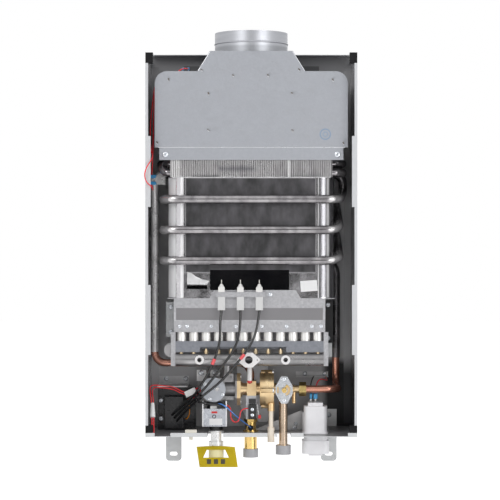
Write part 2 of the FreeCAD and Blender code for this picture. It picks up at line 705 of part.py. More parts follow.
def side_panel(side):
    """Side panel with its rear flange, front lip and the two wider strips that the cover hooks on."""
    outer = "case_width/2"

    def strip(low, high, y, z):
        return block(mirrored(side, low, high), y, z)

    front = ("-case_depth", LIP_BACK)
    wall = strip(INNER, outer, ("-case_depth", "0"), ("0", "side_height"))
    rear = strip(f"{INNER} - weld_flange", INNER, ("-2*sheet", "-sheet"),
                 ("weld_inset", "side_height - weld_inset"))
    lip = strip(f"{outer} - lip_width", INNER, front, ("lip_low", "lip_high"))
    hooks = [
        strip(f"{outer} - lip_tab_width", f"{outer} - lip_width", front, span)
        for span in (("low_tab_low", "low_tab_high"), ("high_tab_low", "high_tab_high"))
    ]
    corners = [
        strip(INNER, outer, ("-case_depth", "-case_depth + clip_wrap"), span)
        for span in (("floor_lip", "lip_low"), ("lip_high", "side_height"))
    ]
    return join(cut(wall, *corners), rear, lip, *hooks)


def corner_clips():
    """Plastic clips in the four front corners."""
    clips = []
    for side in (-1, 1):
        for span in (("floor_lip", "lip_low"), ("lip_high", "side_height")):
            inside = block(mirrored(side, "case_width/2 - clip_width", INNER),
                           ("-case_depth", "-case_depth + clip_depth"), span)
            wrap = block(mirrored(side, INNER, "case_width/2"),
                         ("-case_depth", "-case_depth + clip_wrap"), span)
            clips.append(join(inside, wrap))
    return group(*clips)


def floor_panel():
    """Floor with its broken front lip, the open notches for the pipes and the battery opening."""
    base = block((f"-{INNER}", INNER), (LIP_BACK, "-sheet"), ("0", "sheet"))
    front = ("-case_depth", LIP_BACK)
    runs = (
        (f"-{INNER}", f"-{INNER} + lip_corner"),
        ("-lip_left_gap", "lip_right_end"),
        (f"{INNER} - lip_corner", INNER),
    )
    lips = [block(span, front, ("0", "floor_lip")) for span in runs]
    through = ("-sheet", "floor_lip + sheet")
    tools = []
    for x, y, radius in (
        ("gas_pipe_x", "gas_pipe_y", "gas_ring + floor_clearance"),
        ("cold_x", "valve_y", "thread_radius + floor_clearance"),
        ("drain_x", "drain_y", "drain_knob + floor_clearance"),
    ):
        tools.append(rod("z", (x, f"-{y}"), through, radius))
        tools.append(block((f"{x} - ({radius})", f"{x} + ({radius})"), ("-case_depth - sheet", f"-{y}"),
                           through))
    tools.append(rod("z", ("hot_x", "-hot_y"), through, "thread_radius + floor_clearance"))
    room = "(cell_radius + holder_play + holder_wall + floor_clearance)"
    tools.append(block((f"cell_x - {room}", f"cell_x + {room}"),
                       (f"-cell_y - {room}", f"-cell_y + {room}"), through))
    tools.append(block(("latch_x - latch_nub/2", "latch_x + latch_nub/2"), ("-case_depth + 5*sheet",
                       "-case_depth + 5*sheet + latch_nub"), through))
    for side in (-1, 1):
        middle = f"{side}*wall_bracket_x"
        half = "(wall_bracket_width/2 + floor_clearance)"
        tools.append(block((f"{middle} - {half}", f"{middle} + {half}"),
                           ("-sheet - bracket_sheet - floor_clearance", "sheet"), through))
    return cut(join(base, *lips), *tools)


def wall_bracket(side):
    """Lower wall bracket: lapped on the back panel, joggled back to the wall, with a slot for its screw."""
    lap = "-sheet - bracket_sheet"
    strip = plate("YZ", (
        ("-sheet", "wall_bracket_rise"), ("-sheet", "-panel_drop"), ("0", "-panel_drop - bracket_sheet"),
        ("0", "-wall_bracket_drop"), ("-bracket_sheet", "-wall_bracket_drop"),
        ("-bracket_sheet", "-panel_drop - bracket_sheet"), (lap, "-panel_drop"), (lap, "wall_bracket_rise"),
    ), f"{side}*wall_bracket_x - wall_bracket_width/2", "wall_bracket_width")
    strip = rounded(strip, "4*bracket_sheet", lambda edge: abs(edge.tangentAt(edge.FirstParameter).y) > 0.999
                    and edge.CenterOfMass.z < value("-wall_bracket_drop + sheet"))
    middle = f"{side}*wall_bracket_x"
    face = ("-bracket_sheet - rib_rise", "-bracket_sheet/2")
    ribs = [block((f"{middle} + {turn}*rib_gap - rib_width/2", f"{middle} + {turn}*rib_gap + rib_width/2"),
                  (f"{lap} - rib_rise", "-sheet - sheet/2"), ("-rib_low", "-rib_high")) for turn in (-1, 1)]
    rim = level_slot(middle, face, "wall_slot_length + 2*slot_rim", "wall_slot_width + 2*slot_rim")
    slot = level_slot(middle, ("-3*bracket_sheet", "bracket_sheet"), "wall_slot_length", "wall_slot_width")
    return cut(join(strip, rim, *ribs), slot)


def level_slot(middle, across, length, width):
    """Solid with the outline of a level slot, at the height of the wall slots."""
    half = f"({length} - {width})/2"
    ends = [rod("y", (f"{middle} + {turn}*{half}", "-wall_slot_drop"), across, f"({width})/2")
            for turn in (-1, 1)]
    return join(*ends, block((f"{middle} - {half}", f"{middle} + {half}"), across,
                             (f"-wall_slot_drop - ({width})/2", f"-wall_slot_drop + ({width})/2")))


def cover_latch():
    """Nylon latch that holds the front cover's lower edge."""
    low = "-case_depth + 5*sheet"
    head = block(("latch_x - latch_width/2", "latch_x + latch_width/2"), ("-case_depth + 3*sheet",
                 "-case_depth + 15*sheet"), ("sheet", "latch_high"))
    nub = block(("latch_x - latch_nub/2", "latch_x + latch_nub/2"), (low, f"{low} + latch_nub"),
                ("-latch_nub_drop", "sheet"))
    return join(head, nub)


node("back_panel", back_panel())
node("side_panel_left", side_panel(-1))
node("side_panel_right", side_panel(1))
node("floor_panel", floor_panel())
node("corner_clips", corner_clips())
node("wall_brackets", group(hanger(), wall_bracket(-1), wall_bracket(1)))
node("cover_latch", cover_latch())


HOOD_INSIDE = ("-hood_front + hood_sheet", "-hood_rear - hood_sheet")


def hood_outline(low):
    """Corners of a hood plate from a lower edge up to the neck."""
    right = (("hood_width/2", low), ("hood_width/2", "hood_shoulder"), ("neck_base/2", "hood_shoulder"),
             ("neck_width/2", "neck_high"))
    left = [(f"-{across}", up) for across, up in reversed(right)]
    return (*right, *left)


def wing_corner(edge):
    """Whether an edge is one of the two upper outer corners of a hood plate."""
    middle = edge.CenterOfMass
    return abs(abs(middle.x) - value("hood_width/2")) < 0.01 and abs(middle.z - value("hood_shoulder")) < 0.01


def hood_front_plate():
    """Front plate with its clamp strip below the fold."""
    face = plate("XZ", hood_outline("strip_high"), "hood_front - hood_sheet", "hood_sheet")
    face = rounded(face, "hood_round", wing_corner)
    strip = block(("-strip_width/2", "strip_width/2"), ("-hood_front", "-hood_front + hood_sheet"),
                  ("strip_low", "strip_high"))
    fold = rod("x", ("-hood_front + hood_sheet/2", "strip_high"), ("-strip_width/2", "strip_width/2"),
               "hood_sheet")
    inside = block(("-hood_width/2", "hood_width/2"), ("-hood_front + hood_sheet", "0"),
                   ("strip_low", "hood_shoulder"))
    holes = shanks([(f"{side}*hood_screw_x", "hood_screw_z") for side in (-1, 1)], "y",
                   ("-hood_front - sheet", "0"))
    return cut(join(face, strip, fold), inside, *holes)


def folded_strip(corners, thickness):
    """A sheet between the hood's plates, along corners on the right mirrored to the left, thickness below."""
    over = [*corners, *[(f"-({across})", up) for across, up in reversed(corners)]]
    under = [(f"{across}", f"{up} - {thickness}") for across, up in corners]
    under += [(f"-({across})", f"{up} - {thickness}") for across, up in reversed(corners)]
    return plate("XZ", [*over, *reversed(under)], "hood_rear + hood_sheet",
                 "hood_front - hood_rear - 2*hood_sheet")


def hood_back():
    """Rear plate with the roof: the neck's top with the flue opening, its slopes and the wings."""
    rear = rounded(plate("XZ", hood_outline("fin_high"), "hood_rear", "hood_sheet"), "hood_round",
                   wing_corner)
    sheet = folded_strip((
        ("hood_side_x", "roof_end_z"), ("neck_base/2", "hood_shoulder"), ("neck_width/2", "neck_high")),
        "hood_sheet")
    flue = rod("z", ("0", "-(hood_front + hood_rear)/2"), ("hood_shoulder", "neck_high + sheet"),
               "collar_diameter/2 - collar_wall")
    return join(rear, cut(sheet, flue))


def hood_case():
    """Side sheets, their front flanges and the tray that leads the flue gas from the fins into the hood."""
    sides = []
    for side in (-1, 1):
        sides.append(block(mirrored(side, "hood_side_x", "hood_side_x + hood_sheet"), HOOD_INSIDE,
                           ("fin_high", "hood_side_high")))
        sides.append(block(mirrored(side, "fin_width/2", "strip_width/2"), ("-hood_front + hood_sheet",
                           "-hood_front + 2*hood_sheet"), ("strip_low + 2*sheet", "fin_high + hood_sheet")))
    tray = block(("-hood_side_x", "hood_side_x"), HOOD_INSIDE, ("fin_high", "fin_high + hood_sheet"))
    opening = block(("-fin_width/2 + 3*sheet", "fin_width/2 - 3*sheet"), ("-chamber_front + 3*sheet",
                    "-chamber_rear - 3*sheet"), ("fin_high - sheet", "fin_high + 2*sheet"))
    holes = shanks([(f"{side}*hood_screw_x", "hood_screw_z") for side in (-1, 1)], "y",
                   ("-hood_front - sheet", "0"))
    return cut(join(*sides, tray), opening, *holes)


def draught_baffle():
    """Hat-shaped baffle that spreads a downdraught to the openings under the roof."""
    leg, thick = "baffle_half", "hood_sheet"
    outer = [(leg, "baffle_low"), (leg, "baffle_knee"), ("baffle_top_half", "baffle_high")]
    inner = [(f"{leg} - {thick}", "baffle_low"), (f"{leg} - {thick}", f"baffle_knee - {thick}/2"),
             (f"baffle_top_half - {thick}/2", f"baffle_high - {thick}")]
    outline = [*outer, *[(f"-{x}", z) for x, z in reversed(outer)]]
    outline += [*[(f"-({x})", z) for x, z in inner], *reversed(inner)]
    return plate("XZ", outline, "hood_rear + hood_sheet", "hood_front - hood_rear - 2*hood_sheet")


def hood_tabs():
    """Twisted ends of the inner sheets' tabs, where they hold the front plate."""
    places = [
        ("hood_side_x - 17", "roof_end_z + 4", 15), ("neck_base/2 - 7.5", "hood_shoulder + 1.5", 65),
        ("baffle_top_half", "baffle_high - 1", 75), ("baffle_half", "baffle_knee - 2", 60),
        ("baffle_half", "baffle_low + 10", 20), ("hood_side_x", "fin_high + 2.3", 80),
    ]
    tabs = []
    for across, up, turn in places:
        for side in (-1, 1):
            tab = Part.makeBox(4.4, 1.8, 0.8, Vector(-2.2, -1.8, -0.4))
            tab.Placement = Placement(point(f"{side}*({across})", "-hood_front", up),
                                      Rotation(Vector(0, 1, 0), -side * turn))
            tabs.append(tab)
    return feature(Part.Compound(tabs))


def flue_collar():
    """Flue spigot with its stop bead and foot ring."""
    centre = ("0", "-(hood_front + hood_rear)/2")
    span = ("neck_high", "neck_high + collar_height")
    wall = rod("z", centre, span, "collar_diameter/2")
    foot = rod("z", centre, ("neck_high", "neck_high + hood_sheet"), "collar_diameter/2 + collar_foot")
    bead = ring(*centre, "neck_high + collar_bead_rise", "collar_diameter/2 - collar_bead/3", "collar_bead")
    bore = rod("z", centre, ("neck_high - sheet", "neck_high + collar_height + sheet"),
               "collar_diameter/2 - collar_wall")
    return cut(join(wall, foot, bead), bore)


def spill_sensor():
    """Overheat switch on the roof, which cuts the gas off when flue gas spills back."""
    x, y = "spill_x", "-spill_y"
    low = "roof_end_z + (hood_side_x + spill_x)*(hood_shoulder - roof_end_z)/(hood_side_x - neck_base/2)"
    base = block((f"{x} - 12", f"{x} + 12"), (f"{y} - 5", f"{y} + 5"), (f"{low} + 1", f"{low} + 1.8"))
    legs = [block((f"{x} + {at} - 1", f"{x} + {at} + 1"), (f"{y} - 5", f"{y} + 5"),
                  (f"{low} - 2.6", f"{low} + 1.8"))
            for at in (-11, 11)]
    body = rod("z", (x, y), (f"{low} + 1.8", f"{low} + 7.8"), "8")
    tabs = [block((f"{x} + {at} - 0.4", f"{x} + {at} + 0.4"), (f"{y} - 3", f"{y} + 3"),
                  (f"{low} + 7.8", f"{low} + 12"))
            for at in (-4.5, 4.5)]
    under = plate("XZ", (("-hood_side_x", "roof_end_z - hood_sheet"),
                         ("-neck_base/2", "hood_shoulder - hood_sheet"),
                         ("-neck_base/2", "hood_shoulder"), ("-hood_side_x", "roof_end_z")), "hood_rear",
                         "hood_front")
    return cut(join(base, *legs, body, *tabs), under)


node("hood_front_plate", hood_front_plate())
node("hood_back", hood_back())
node("hood_case", group(hood_case(), hood_tabs()))
node("draught_baffle", draught_baffle())
node("flue_collar", flue_collar())


CHAMBER_X = ("-chamber_width/2", "chamber_width/2")


def chamber_shell():
    """Combustion chamber: a rounded sheet box, open above and below, with its window and vent slot."""
    outer = rounded(block(CHAMBER_X, ("-chamber_front", "-chamber_rear"), ("chamber_low", "chamber_high")),
                    "chamber_round", upright)
    thick = "chamber_sheet"
    inner = rounded(block((f"-chamber_width/2 + {thick}", f"chamber_width/2 - {thick}"),
                          (f"-chamber_front + {thick}", f"-chamber_rear - {thick}"),
                          ("chamber_low - sheet", "chamber_high + sheet")), f"chamber_round - {thick}",
                          upright)
    front = ("-chamber_front - sheet", "-chamber_front + 2*chamber_sheet")
    window = block(("window_x - window_width/2", "window_x + window_width/2"), front,
                   ("window_low", "window_high"))
    vent = block(("vent_x - vent_width/2", "vent_x + vent_width/2"), front,
                 ("vent_low", "vent_low + vent_height"))
    return cut(outer, inner, window, vent)


def sight_window():
    """Dark pane behind the window opening."""
    half = "(window_width/2 + pane_lap)"
    back = "-chamber_front + chamber_sheet"
    return block((f"window_x - {half}", f"window_x + {half}"), (back, f"{back} + pane"),
                 ("window_low - pane_lap", "window_high + pane_lap"))


def tube_places():
    """(y, z) formulas of the fin block's tubes: four below, then three above."""
    low = [(f"-tube_rear_y - {index}*tube_pitch", "tube_low_z") for index in range(4)]
    high = [(f"-tube_rear_y - tube_stagger - {index}*tube_pitch", "tube_high_z") for index in range(3)]
    return low + high


def fin_pack():
    """Upright fins with folded front and rear edges, pierced by the tubes."""
    low, high = value("chamber_high"), value("fin_high")
    front, rear = -value("chamber_front"), -value("chamber_rear")
    thick, edge, pitch = value("fin_sheet"), value("fin_edge"), value("fin_pitch")
    room = value("fin_width/2 - hood_sheet")
    profile = Part.makePolygon([Vector(x, y, low) for x, y in (
        (0, front), (edge, front), (edge, front + thick), (thick, front + thick), (thick, rear - thick),
        (edge, rear - thick), (edge, rear), (0, rear), (0, front))])
    fin = Part.Face(profile).extrude(Vector(0, 0, high - low))
    radius = value("tube_diameter/2")
    for y, z in tube_places():
        fin = fin.cut(Part.makeCylinder(radius, 2 * edge, Vector(-edge / 2, value(y), value(z)),
                                        Vector(1, 0, 0)))
    count = int(2 * room / pitch)
    start = -(count - 1) * pitch / 2 - edge / 2
    fins = []
    for index in range(count):
        copy = fin.copy()
        copy.translate(Vector(start + index * pitch, 0, 0))
        fins.append(copy)
    return feature(Part.Compound(fins))


def fin_casing():
    """End plates of the fin block, joined by a rail along each upper edge."""
    ends = []
    for side in (-1, 1):
        end = block(mirrored(side, "fin_width/2 - hood_sheet", "fin_width/2"),
                    ("-chamber_front", "-chamber_rear"),
                    ("chamber_high", "fin_high"))
        holes = [rod("x", (y, z), ("-fin_width", "fin_width"), "tube_diameter/2") for y, z in tube_places()]
        ends.append(cut(end, *holes))
    return group(*ends)


def fin_tubes():
    """The straight tubes through the fins."""
    reach = "(fin_width/2 + tube_end)"
    tubes = []
    for y, z in tube_places():
        outside = rod("x", (y, z), (f"-{reach}", reach), "tube_diameter/2")
        inside = rod("x", (y, z), (f"-{reach} - 1", f"{reach} + 1"), "tube_diameter/2 - pipe_wall")
        tubes.append(cut(outside, inside))
    return group(*tubes)


def return_bend(first, second, side):
    """A half turn that joins two tubes' ends on one side."""
    reach = side * value("fin_width/2 + tube_end")
    start = Vector(reach, value(first[0]), value(first[1]))
    stop = Vector(reach, value(second[0]), value(second[1]))
    span = stop - start
    radius = span.Length / 2
    crown = (start + stop) / 2 + Vector(side * radius, 0, 0)
    path = Part.Wire([Part.Arc(start, crown, stop).toShape()])
    sizes = (value("tube_diameter/2"), value("tube_diameter/2 - pipe_wall"))
    outer, inner = [
        path.makePipeShell([Part.Wire([Part.makeCircle(size, start, Vector(side, 0, 0))])], True, False)
        for size in sizes
    ]
    return outer.cut(inner)


def return_bends():
    """Bends that link the tubes: water enters the rear lower tube on the right and leaves on the left."""
    low_1, low_2, low_3, low_4, high_1, high_2, high_3 = tube_places()
    pairs = (
        (low_1, low_2, -1), (low_2, high_1, 1), (high_1, high_2, -1),
        (high_2, high_3, 1), (high_3, low_4, -1), (low_4, low_3, 1),
    )
    return feature(Part.Compound([return_bend(*pair) for pair in pairs]))


COIL_RISER = "(fin_width/2 + coil_riser_gap)"
RETURN_X = "(case_width/2 - return_gap)"


def wrap_coil():
    """Pipe that winds three times round the chamber and rises into the fin block."""
    off = "(chamber_width/2 + coil_gap + tube_diameter/2)"
    front = "-(chamber_front + coil_gap + tube_diameter/2)"
    rear = "-(chamber_rear - coil_gap - tube_diameter/2)"
    points = [point(off, rear, "feed_joint_z")]
    for turn in range(3):
        level = f"coil_low + {turn}*coil_pitch"
        points.append(point(off, rear, level))
        points.append(point(f"-{off}", rear, level))
        points.append(point(f"-{off}", front, level))
        points.append(point(off, front, level))
    y, z = tube_places()[0]
    points.append(point(COIL_RISER, y, "coil_low + 2*coil_pitch + tube_diameter"))
    points.append(point(COIL_RISER, y, z))
    points.append(point("fin_width/2 + tube_end", y, z))
    return pipe(points, "tube_diameter", "coil_bend")


def feed_pipe():
    """Bare copper pipe from the union nut to the coil."""
    off = "(chamber_width/2 + coil_gap + tube_diameter/2)"
    rear = "-(chamber_rear - coil_gap - tube_diameter/2)"
    return pipe([
        point(off, rear, "feed_joint_z"), point(off, rear, "valve_z"), point(off, "-valve_y", "valve_z"),
        point("nut_x + nut_length/2", "-valve_y", "valve_z"),
    ], "pipe_diameter", "pipe_bend")


def return_pipe():
    """Tinned pipe that brings the hot water down on the left."""
    y, z = tube_places()[2]
    return pipe([
        point("-fin_width/2 - tube_end", y, z), point(f"-{RETURN_X}", y, z),
        point(f"-{RETURN_X}", "-return_y", f"{z} - 3*pipe_bend"),
        point(f"-{RETURN_X}", "-return_y", "return_joint_z"),
    ], "pipe_diameter", "pipe_bend")


def hot_pipe():
    """Bare copper pipe from the foot of the return pipe to the hot water outlet."""
    return pipe([
        point(f"-{RETURN_X}", "-return_y", "return_joint_z"), point(f"-{RETURN_X}", "-return_y", "return_low_z"),
        point("hot_x", "-return_y", "return_low_z"), point("hot_x", "-return_y", "hot_top"),
    ], "pipe_diameter", "pipe_bend")


def thermostat():
    """Overheat switch clipped on the return pipe."""
    x, y, z = f"-{RETURN_X} + 9", "-tube_rear_y - 2*tube_pitch - pipe_diameter/2", "tube_low_z - 11"
    body = rod("y", (x, z), (f"{y} - 7", f"{y} - 1"), "7.5")
    seat = block((f"{x} - 14", f"{x} + 9"), (f"{y} - 1", y), (f"{z} - 8", f"{z} + 8"))
    tabs = [block((f"{x} - 9", f"{x} - 5"), (f"{y} - 4.4", f"{y} - 3.6"),
                  (f"{z} + {up} - 2", f"{z} + {up} + 2"))
            for up in (-5, 5)]
    jaw = rod("z", (f"-{RETURN_X}", "-tube_rear_y - 2*tube_pitch"), (f"{z} - 8", f"{z} - 2"),
              "pipe_diameter/2 + 1")
    return cut(join(body, seat, *tabs), jaw)


node("chamber_shell", chamber_shell())
node("sight_window", sight_window())
node("fin_block", group(fin_pack(), fin_casing()))
node("exchanger_tubes", group(fin_tubes(), return_bends()))
node("wrap_coil", wrap_coil())
node("cold_feed_pipe", feed_pipe())
node("hot_return_pipe", return_pipe())
node("hot_outlet_pipe", hot_pipe())


FRAME_LEFT = "(burner_x - burner_half)"
FRAME_RIGHT = "(burner_x + burner_half)"
SHELF_Z = ("chamber_low - sheet", "chamber_low")


def burner_frame():
    """Sheet frame round the bars: shelf under the chamber, sides, rear wall and the two front legs."""
    sides = []
    for side, edge in ((-1, FRAME_LEFT), (1, FRAME_RIGHT)):
        wall = (edge, f"{edge} + sheet") if side < 0 else (f"{edge} - sheet", edge)
        flange = (f"{edge} - leg_flange", edge) if side < 0 else (edge, f"{edge} + leg_flange")
        sides.append(block(wall, ("-frame_front", "-frame_rear"), ("frame_mid", "chamber_low")))
        sides.append(block(wall, ("-frame_front", "-frame_front + leg_depth"), ("leg_low", "frame_mid")))
        sides.append(block(flange, ("-frame_front", "-frame_front + sheet"), ("leg_low", "plate_strip_low")))
    rear = block((FRAME_LEFT, FRAME_RIGHT), ("-frame_rear - sheet", "-frame_rear"),
                 ("frame_mid", "chamber_low"))
    shelf = block(CHAMBER_X, ("-chamber_front", "-chamber_rear"), SHELF_Z)
    opening = block((f"{FRAME_LEFT} + sheet", f"{FRAME_RIGHT} - sheet"),
                    ("-frame_front", "-frame_rear - sheet"),
                    ("frame_mid - sheet", "chamber_low + sheet"))
    return join(cut(join(shelf, rear), opening), *sides)


def burner_front_plate():
    """Front plate: upright above, folded back in its middle, a lower strip and the raised shield."""
    front = "-chamber_front - sheet"
    profile = (
        (front, "chamber_low"), (front, "plate_fold"), ("-frame_front - sheet", "plate_strip_high"),
        ("-frame_front - sheet", "plate_strip_low"), ("-frame_front", "plate_strip_low"),
        ("-frame_front", "plate_strip_high"), ("-chamber_front", "plate_fold"),
        ("-chamber_front", "chamber_low"),
    )
    face = plate("YZ", profile, "burner_x - plate_half", "2*plate_half")
    shield = plate("XZ", (
        ("shield_left - shield_flare", "chamber_low"), ("shield_right + shield_flare", "chamber_low"),
        ("shield_right", "window_low"), ("shield_left", "window_low")), "chamber_front", "sheet")
    return join(face, shield)


def bar_centres():
    """Centre line formula of each burner bar, from the left."""
    return [f"burner_x + ({index} - (bar_count - 1)/2)*bar_pitch" for index in range(int(value("bar_count")))]


def burner_bars():
    """Equal burner bars, each with its venturi barrel in front and a row of flame slots on top."""
    width, low, high = value("bar_width"), value("bar_low"), value("bar_high")
    front, rear = -value("bar_front"), -value("frame_rear + sheet")
    axis = Vector(0, -value("barrel_y"), value("barrel_low"))
    body = Part.makeBox(width, rear - front, high - low, Vector(-width / 2, front, low))
    body = body.makeFillet(width / 6, [edge for edge in body.Edges if abs(edge.tangentAt(0).y) > 0.999])
    barrel = Part.makeCylinder(value("barrel_radius"), low - axis.z + 2, axis)
    bar = body.fuse(barrel)
    bore = value("barrel_bore")
    flare = value("barrel_radius") - 0.3
    bar = bar.cut(Part.makeCone(flare, bore, 3, axis)).cut(Part.makeCylinder(bore, low - axis.z, axis))
    count = int(value("port_slots"))
    pitch = (rear - front) / (count + 1)
    slots = [
        Part.makeBox(width * 0.6, pitch * 0.3, 3,
                     Vector(-width * 0.3, front + (index + 0.85) * pitch, high - 2))
        for index in range(count)
    ]
    bar = bar.cut(Part.Compound(slots))
    bars = []
    for centre in bar_centres():
        copy = bar.copy()
        copy.translate(Vector(value(centre), 0, 0))
        bars.append(copy)
    return feature(Part.Compound(bars))


def air_trough():
    """Trough that carries the venturi barrels and shields the nozzles."""
    inside = (f"{FRAME_LEFT} + sheet", f"{FRAME_RIGHT} - sheet")
    front = ("-frame_front", "-frame_front + sheet")
    face = block(inside, front, ("trough_low", "trough_high"))
    top = block(inside, ("-frame_front", "-frame_front + trough_depth"),
                ("trough_high - sheet", "trough_high"))
    rear = block(inside, ("-frame_front + trough_depth - sheet", "-frame_front + trough_depth"),
                 ("trough_low + 4*sheet", "trough_high"))
    notch = block(("trough_notch_left", "trough_notch_right"),
                  ("-frame_front - sheet", "-frame_front + 2*sheet"),
                  ("trough_low - sheet", "trough_notch_high"))
    holes = [rod("z", (centre, "-barrel_y"), ("trough_high - 2*sheet", "trough_high + sheet"),
                 "barrel_radius")
             for centre in bar_centres()]
    return cut(join(face, top, rear), notch, *holes)


def diamond(x, front, thick, half, rise, bore):
    """A pointed flange facing the front, with its bore left open."""
    corners = [(f"{x} - {half}", "manifold_z"), (f"{x} - {bore}", f"manifold_z - {rise}"),
               (f"{x} + {bore}", f"manifold_z - {rise}"), (f"{x} + {half}", "manifold_z"),
               (f"{x} + {bore}", f"manifold_z + {rise}"), (f"{x} - {bore}", f"manifold_z + {rise}")]
    pad = plate("XZ", corners, f"{front} - {thick}", thick)
    ends = [(f"{half}", 1), (f"{half}", -1)]
    return rounded(pad, f"{thick}/2 + sheet", lambda edge: abs(edge.tangentAt(edge.FirstParameter).y) > 0.999
                   and any(abs(edge.CenterOfMass.x - value(f"{x} + {turn}*({text})")) < 0.01 for text,
                           turn in ends))


def gas_manifold():
    """Cast gas manifold with its nozzle seats, two side ports and the middle flange."""
    axis = ("-manifold_y", "manifold_z")
    span = (f"{FRAME_LEFT} + sheet", f"{FRAME_RIGHT} - sheet")
    parts = [rod("x", axis, span, "manifold_radius")]
    tools = [rod("x", axis, (f"{span[0]} + 2*sheet", f"{span[1]} - 2*sheet"), "manifold_bore")]
    for port in ("port_left_x", "port_right_x"):
        parts.append(rod("y", (port, "manifold_z"), ("-port_front", "-manifold_y"), "port_radius"))
        parts.append(diamond(port, "port_front", "pad_thick", "port_radius + pad_thick", "port_radius/2",
                             "port_bore"))
        tools.append(rod("y", (port, "manifold_z"), ("-port_front - 1", "-manifold_y"), "port_bore"))
    parts.append(rod("y", ("pad_x", "manifold_z"), ("-pad_front", "-manifold_y"), "manifold_bore + 1"))
    parts.append(diamond("pad_x", "pad_front", "pad_thick", "pad_half", "pad_rise", "pad_bore"))
    tools.append(rod("y", ("pad_x", "manifold_z"), ("-pad_front - 1", "-manifold_y"), "pad_bore"))
    tools.append(rod("y", ("pad_x + pad_half - pad_bore", "manifold_z"),
                     ("-pad_front - 1", "-pad_front + pad_thick + 1"),
                     "nozzle_shank/2"))
    for centre in bar_centres():
        tools.append(rod("z", (centre, "-manifold_y"), ("nozzle_seat_z", "manifold_z + 2*manifold_radius"),
                         "nozzle_radius + sheet"))
        tools.append(rod("z", (centre, "-manifold_y"), ("manifold_z", "nozzle_seat_z + sheet"),
                         "nozzle_shank"))
    tools.append(rod("y", ("riser_x", "manifold_z"), ("-manifold_y", "-manifold_y + 2*manifold_radius"),
                     "riser_radius - 2*sheet"))
    return cut(join(*parts), *tools)


def gas_nozzles():
    """Brass nozzles, one under each barrel."""
    base, top = value("nozzle_seat_z"), value("nozzle_high")
    radius, shank = value("nozzle_radius"), value("nozzle_shank")
    corners = [Vector(radius * math.cos(turn * math.pi / 3), radius * math.sin(turn * math.pi / 3), base)
               for turn in range(7)]
    head = Part.Face(Part.makePolygon(corners)).extrude(Vector(0, 0, (top - base) * 0.65))
    tip = Part.makeCone(shank, shank * 0.6, (top - base) * 0.4, Vector(0, 0, base + (top - base) * 0.6))
    thread = Part.makeCylinder(shank, 2.2, Vector(0, 0, base - 2.2))
    jet = Part.makeCylinder(shank * 0.3, top, Vector(0, 0, base - 5))
    one = head.fuse([tip, thread]).cut(jet)
    copies = []
    for centre in bar_centres():
        copy = one.copy()
        copy.translate(Vector(value(centre), -value("manifold_y"), 0))
        copies.append(copy)
    return feature(Part.Compound(copies))


def ear(side):
    """Bracket that ties the burner frame's side to the back panel."""
    name = "ear_left" if side < 0 else "ear_right"
    frame = FRAME_LEFT if side < 0 else FRAME_RIGHT
    outer = f"-{name}_x" if side < 0 else f"{name}_x"
    across = (outer, frame) if side < 0 else (frame, outer)
    wall = (outer, f"{outer} + sheet") if side < 0 else (f"{outer} - sheet", outer)
    foot = (f"{wall[1]}", f"{wall[1]} + 10*sheet") if side < 0 else (f"{wall[0]} - 10*sheet", f"{wall[0]}")
    upright_z = (f"{name}_low", f"{name}_high")
    face = block(across, (f"-{name}_y", f"-{name}_y + sheet"), upright_z)
    arm = block(wall, (f"-{name}_y", "-sheet"), (f"{name}_low + 10*sheet", f"{name}_high - 10*sheet"))
    pad = block(foot, ("-2*sheet", "-sheet"), (f"{name}_low + 10*sheet", f"{name}_high - 10*sheet"))
    slots = [rod("y", (f"({across[0]} + {across[1]})/2", z), (f"-{name}_y - 1", f"-{name}_y + 2*sheet"),
                 "screw_shank")
             for z in (f"{name}_low + 8*sheet", f"{name}_high - 8*sheet")]
    return cut(join(face, arm, pad), *slots)


def standoffs():
    """Two stays that steady the burner's front legs from the back panel."""
    disc = rod("y", ("standoff_disc_x", "standoff_z"), ("-standoff_y", "-standoff_y + 4*sheet"),
               "standoff_disc")
    clear = block((FRAME_LEFT, "0"), ("-standoff_y - 1", "-standoff_y + 5*sheet"),
                  ("leg_low", "plate_strip_low"))
    left = join(cut(disc, clear), rod("y", ("standoff_disc_x", "standoff_z"), ("-standoff_y", "-sheet"),
                                      "standoff_rod"))
    right = block((FRAME_RIGHT, "standoff_reach"), ("-standoff_y", "-standoff_y + 12*sheet"),
                  ("standoff_z - standoff_block", "standoff_z + standoff_block"))
    stay = rod("y", (f"({FRAME_RIGHT} + standoff_reach)/2", "standoff_z"), ("-standoff_y", "-sheet"),
               "standoff_rod")
    return group(left, join(right, stay))


SHIELD_FRONT = "-chamber_front - sheet"


def electrode_places():
    """Centre line formula of each electrode."""
    return [f"electrode_x + ({index})*electrode_pitch" for index in (-1, 0, 1)]


def electrode_ceramics():
    """Ceramic bodies of the two spark electrodes and the flame sensor."""
    bodies = []
    for x in electrode_places():
        half = "electrode_width/2"
        body = block((f"{x} - {half}", f"{x} + {half}"),
                     (f"{SHIELD_FRONT} - electrode_depth + 2", SHIELD_FRONT),
                     ("boot_high", "electrode_high"))
        neck = cone("z", (x, f"{SHIELD_FRONT} - electrode_depth/2"), ("electrode_high", "electrode_neck"),
                    "electrode_width*0.45", "electrode_width*0.2")
        wire = rod("z", (x, f"{SHIELD_FRONT} - electrode_depth/2"), ("boot_high - 2", "electrode_neck + 1"),
                   "sheet*0.9")
        bodies.append(cut(join(body, neck), wire))
    return group(*bodies)


def electrode_wires():
    """Electrode wires in the ceramics."""
    wires = []
    for x in electrode_places():
        wires.append(rod("z", (x, f"{SHIELD_FRONT} - electrode_depth/2"), ("boot_high", "electrode_tip"),
                         "sheet*0.9"))
    return group(*wires)


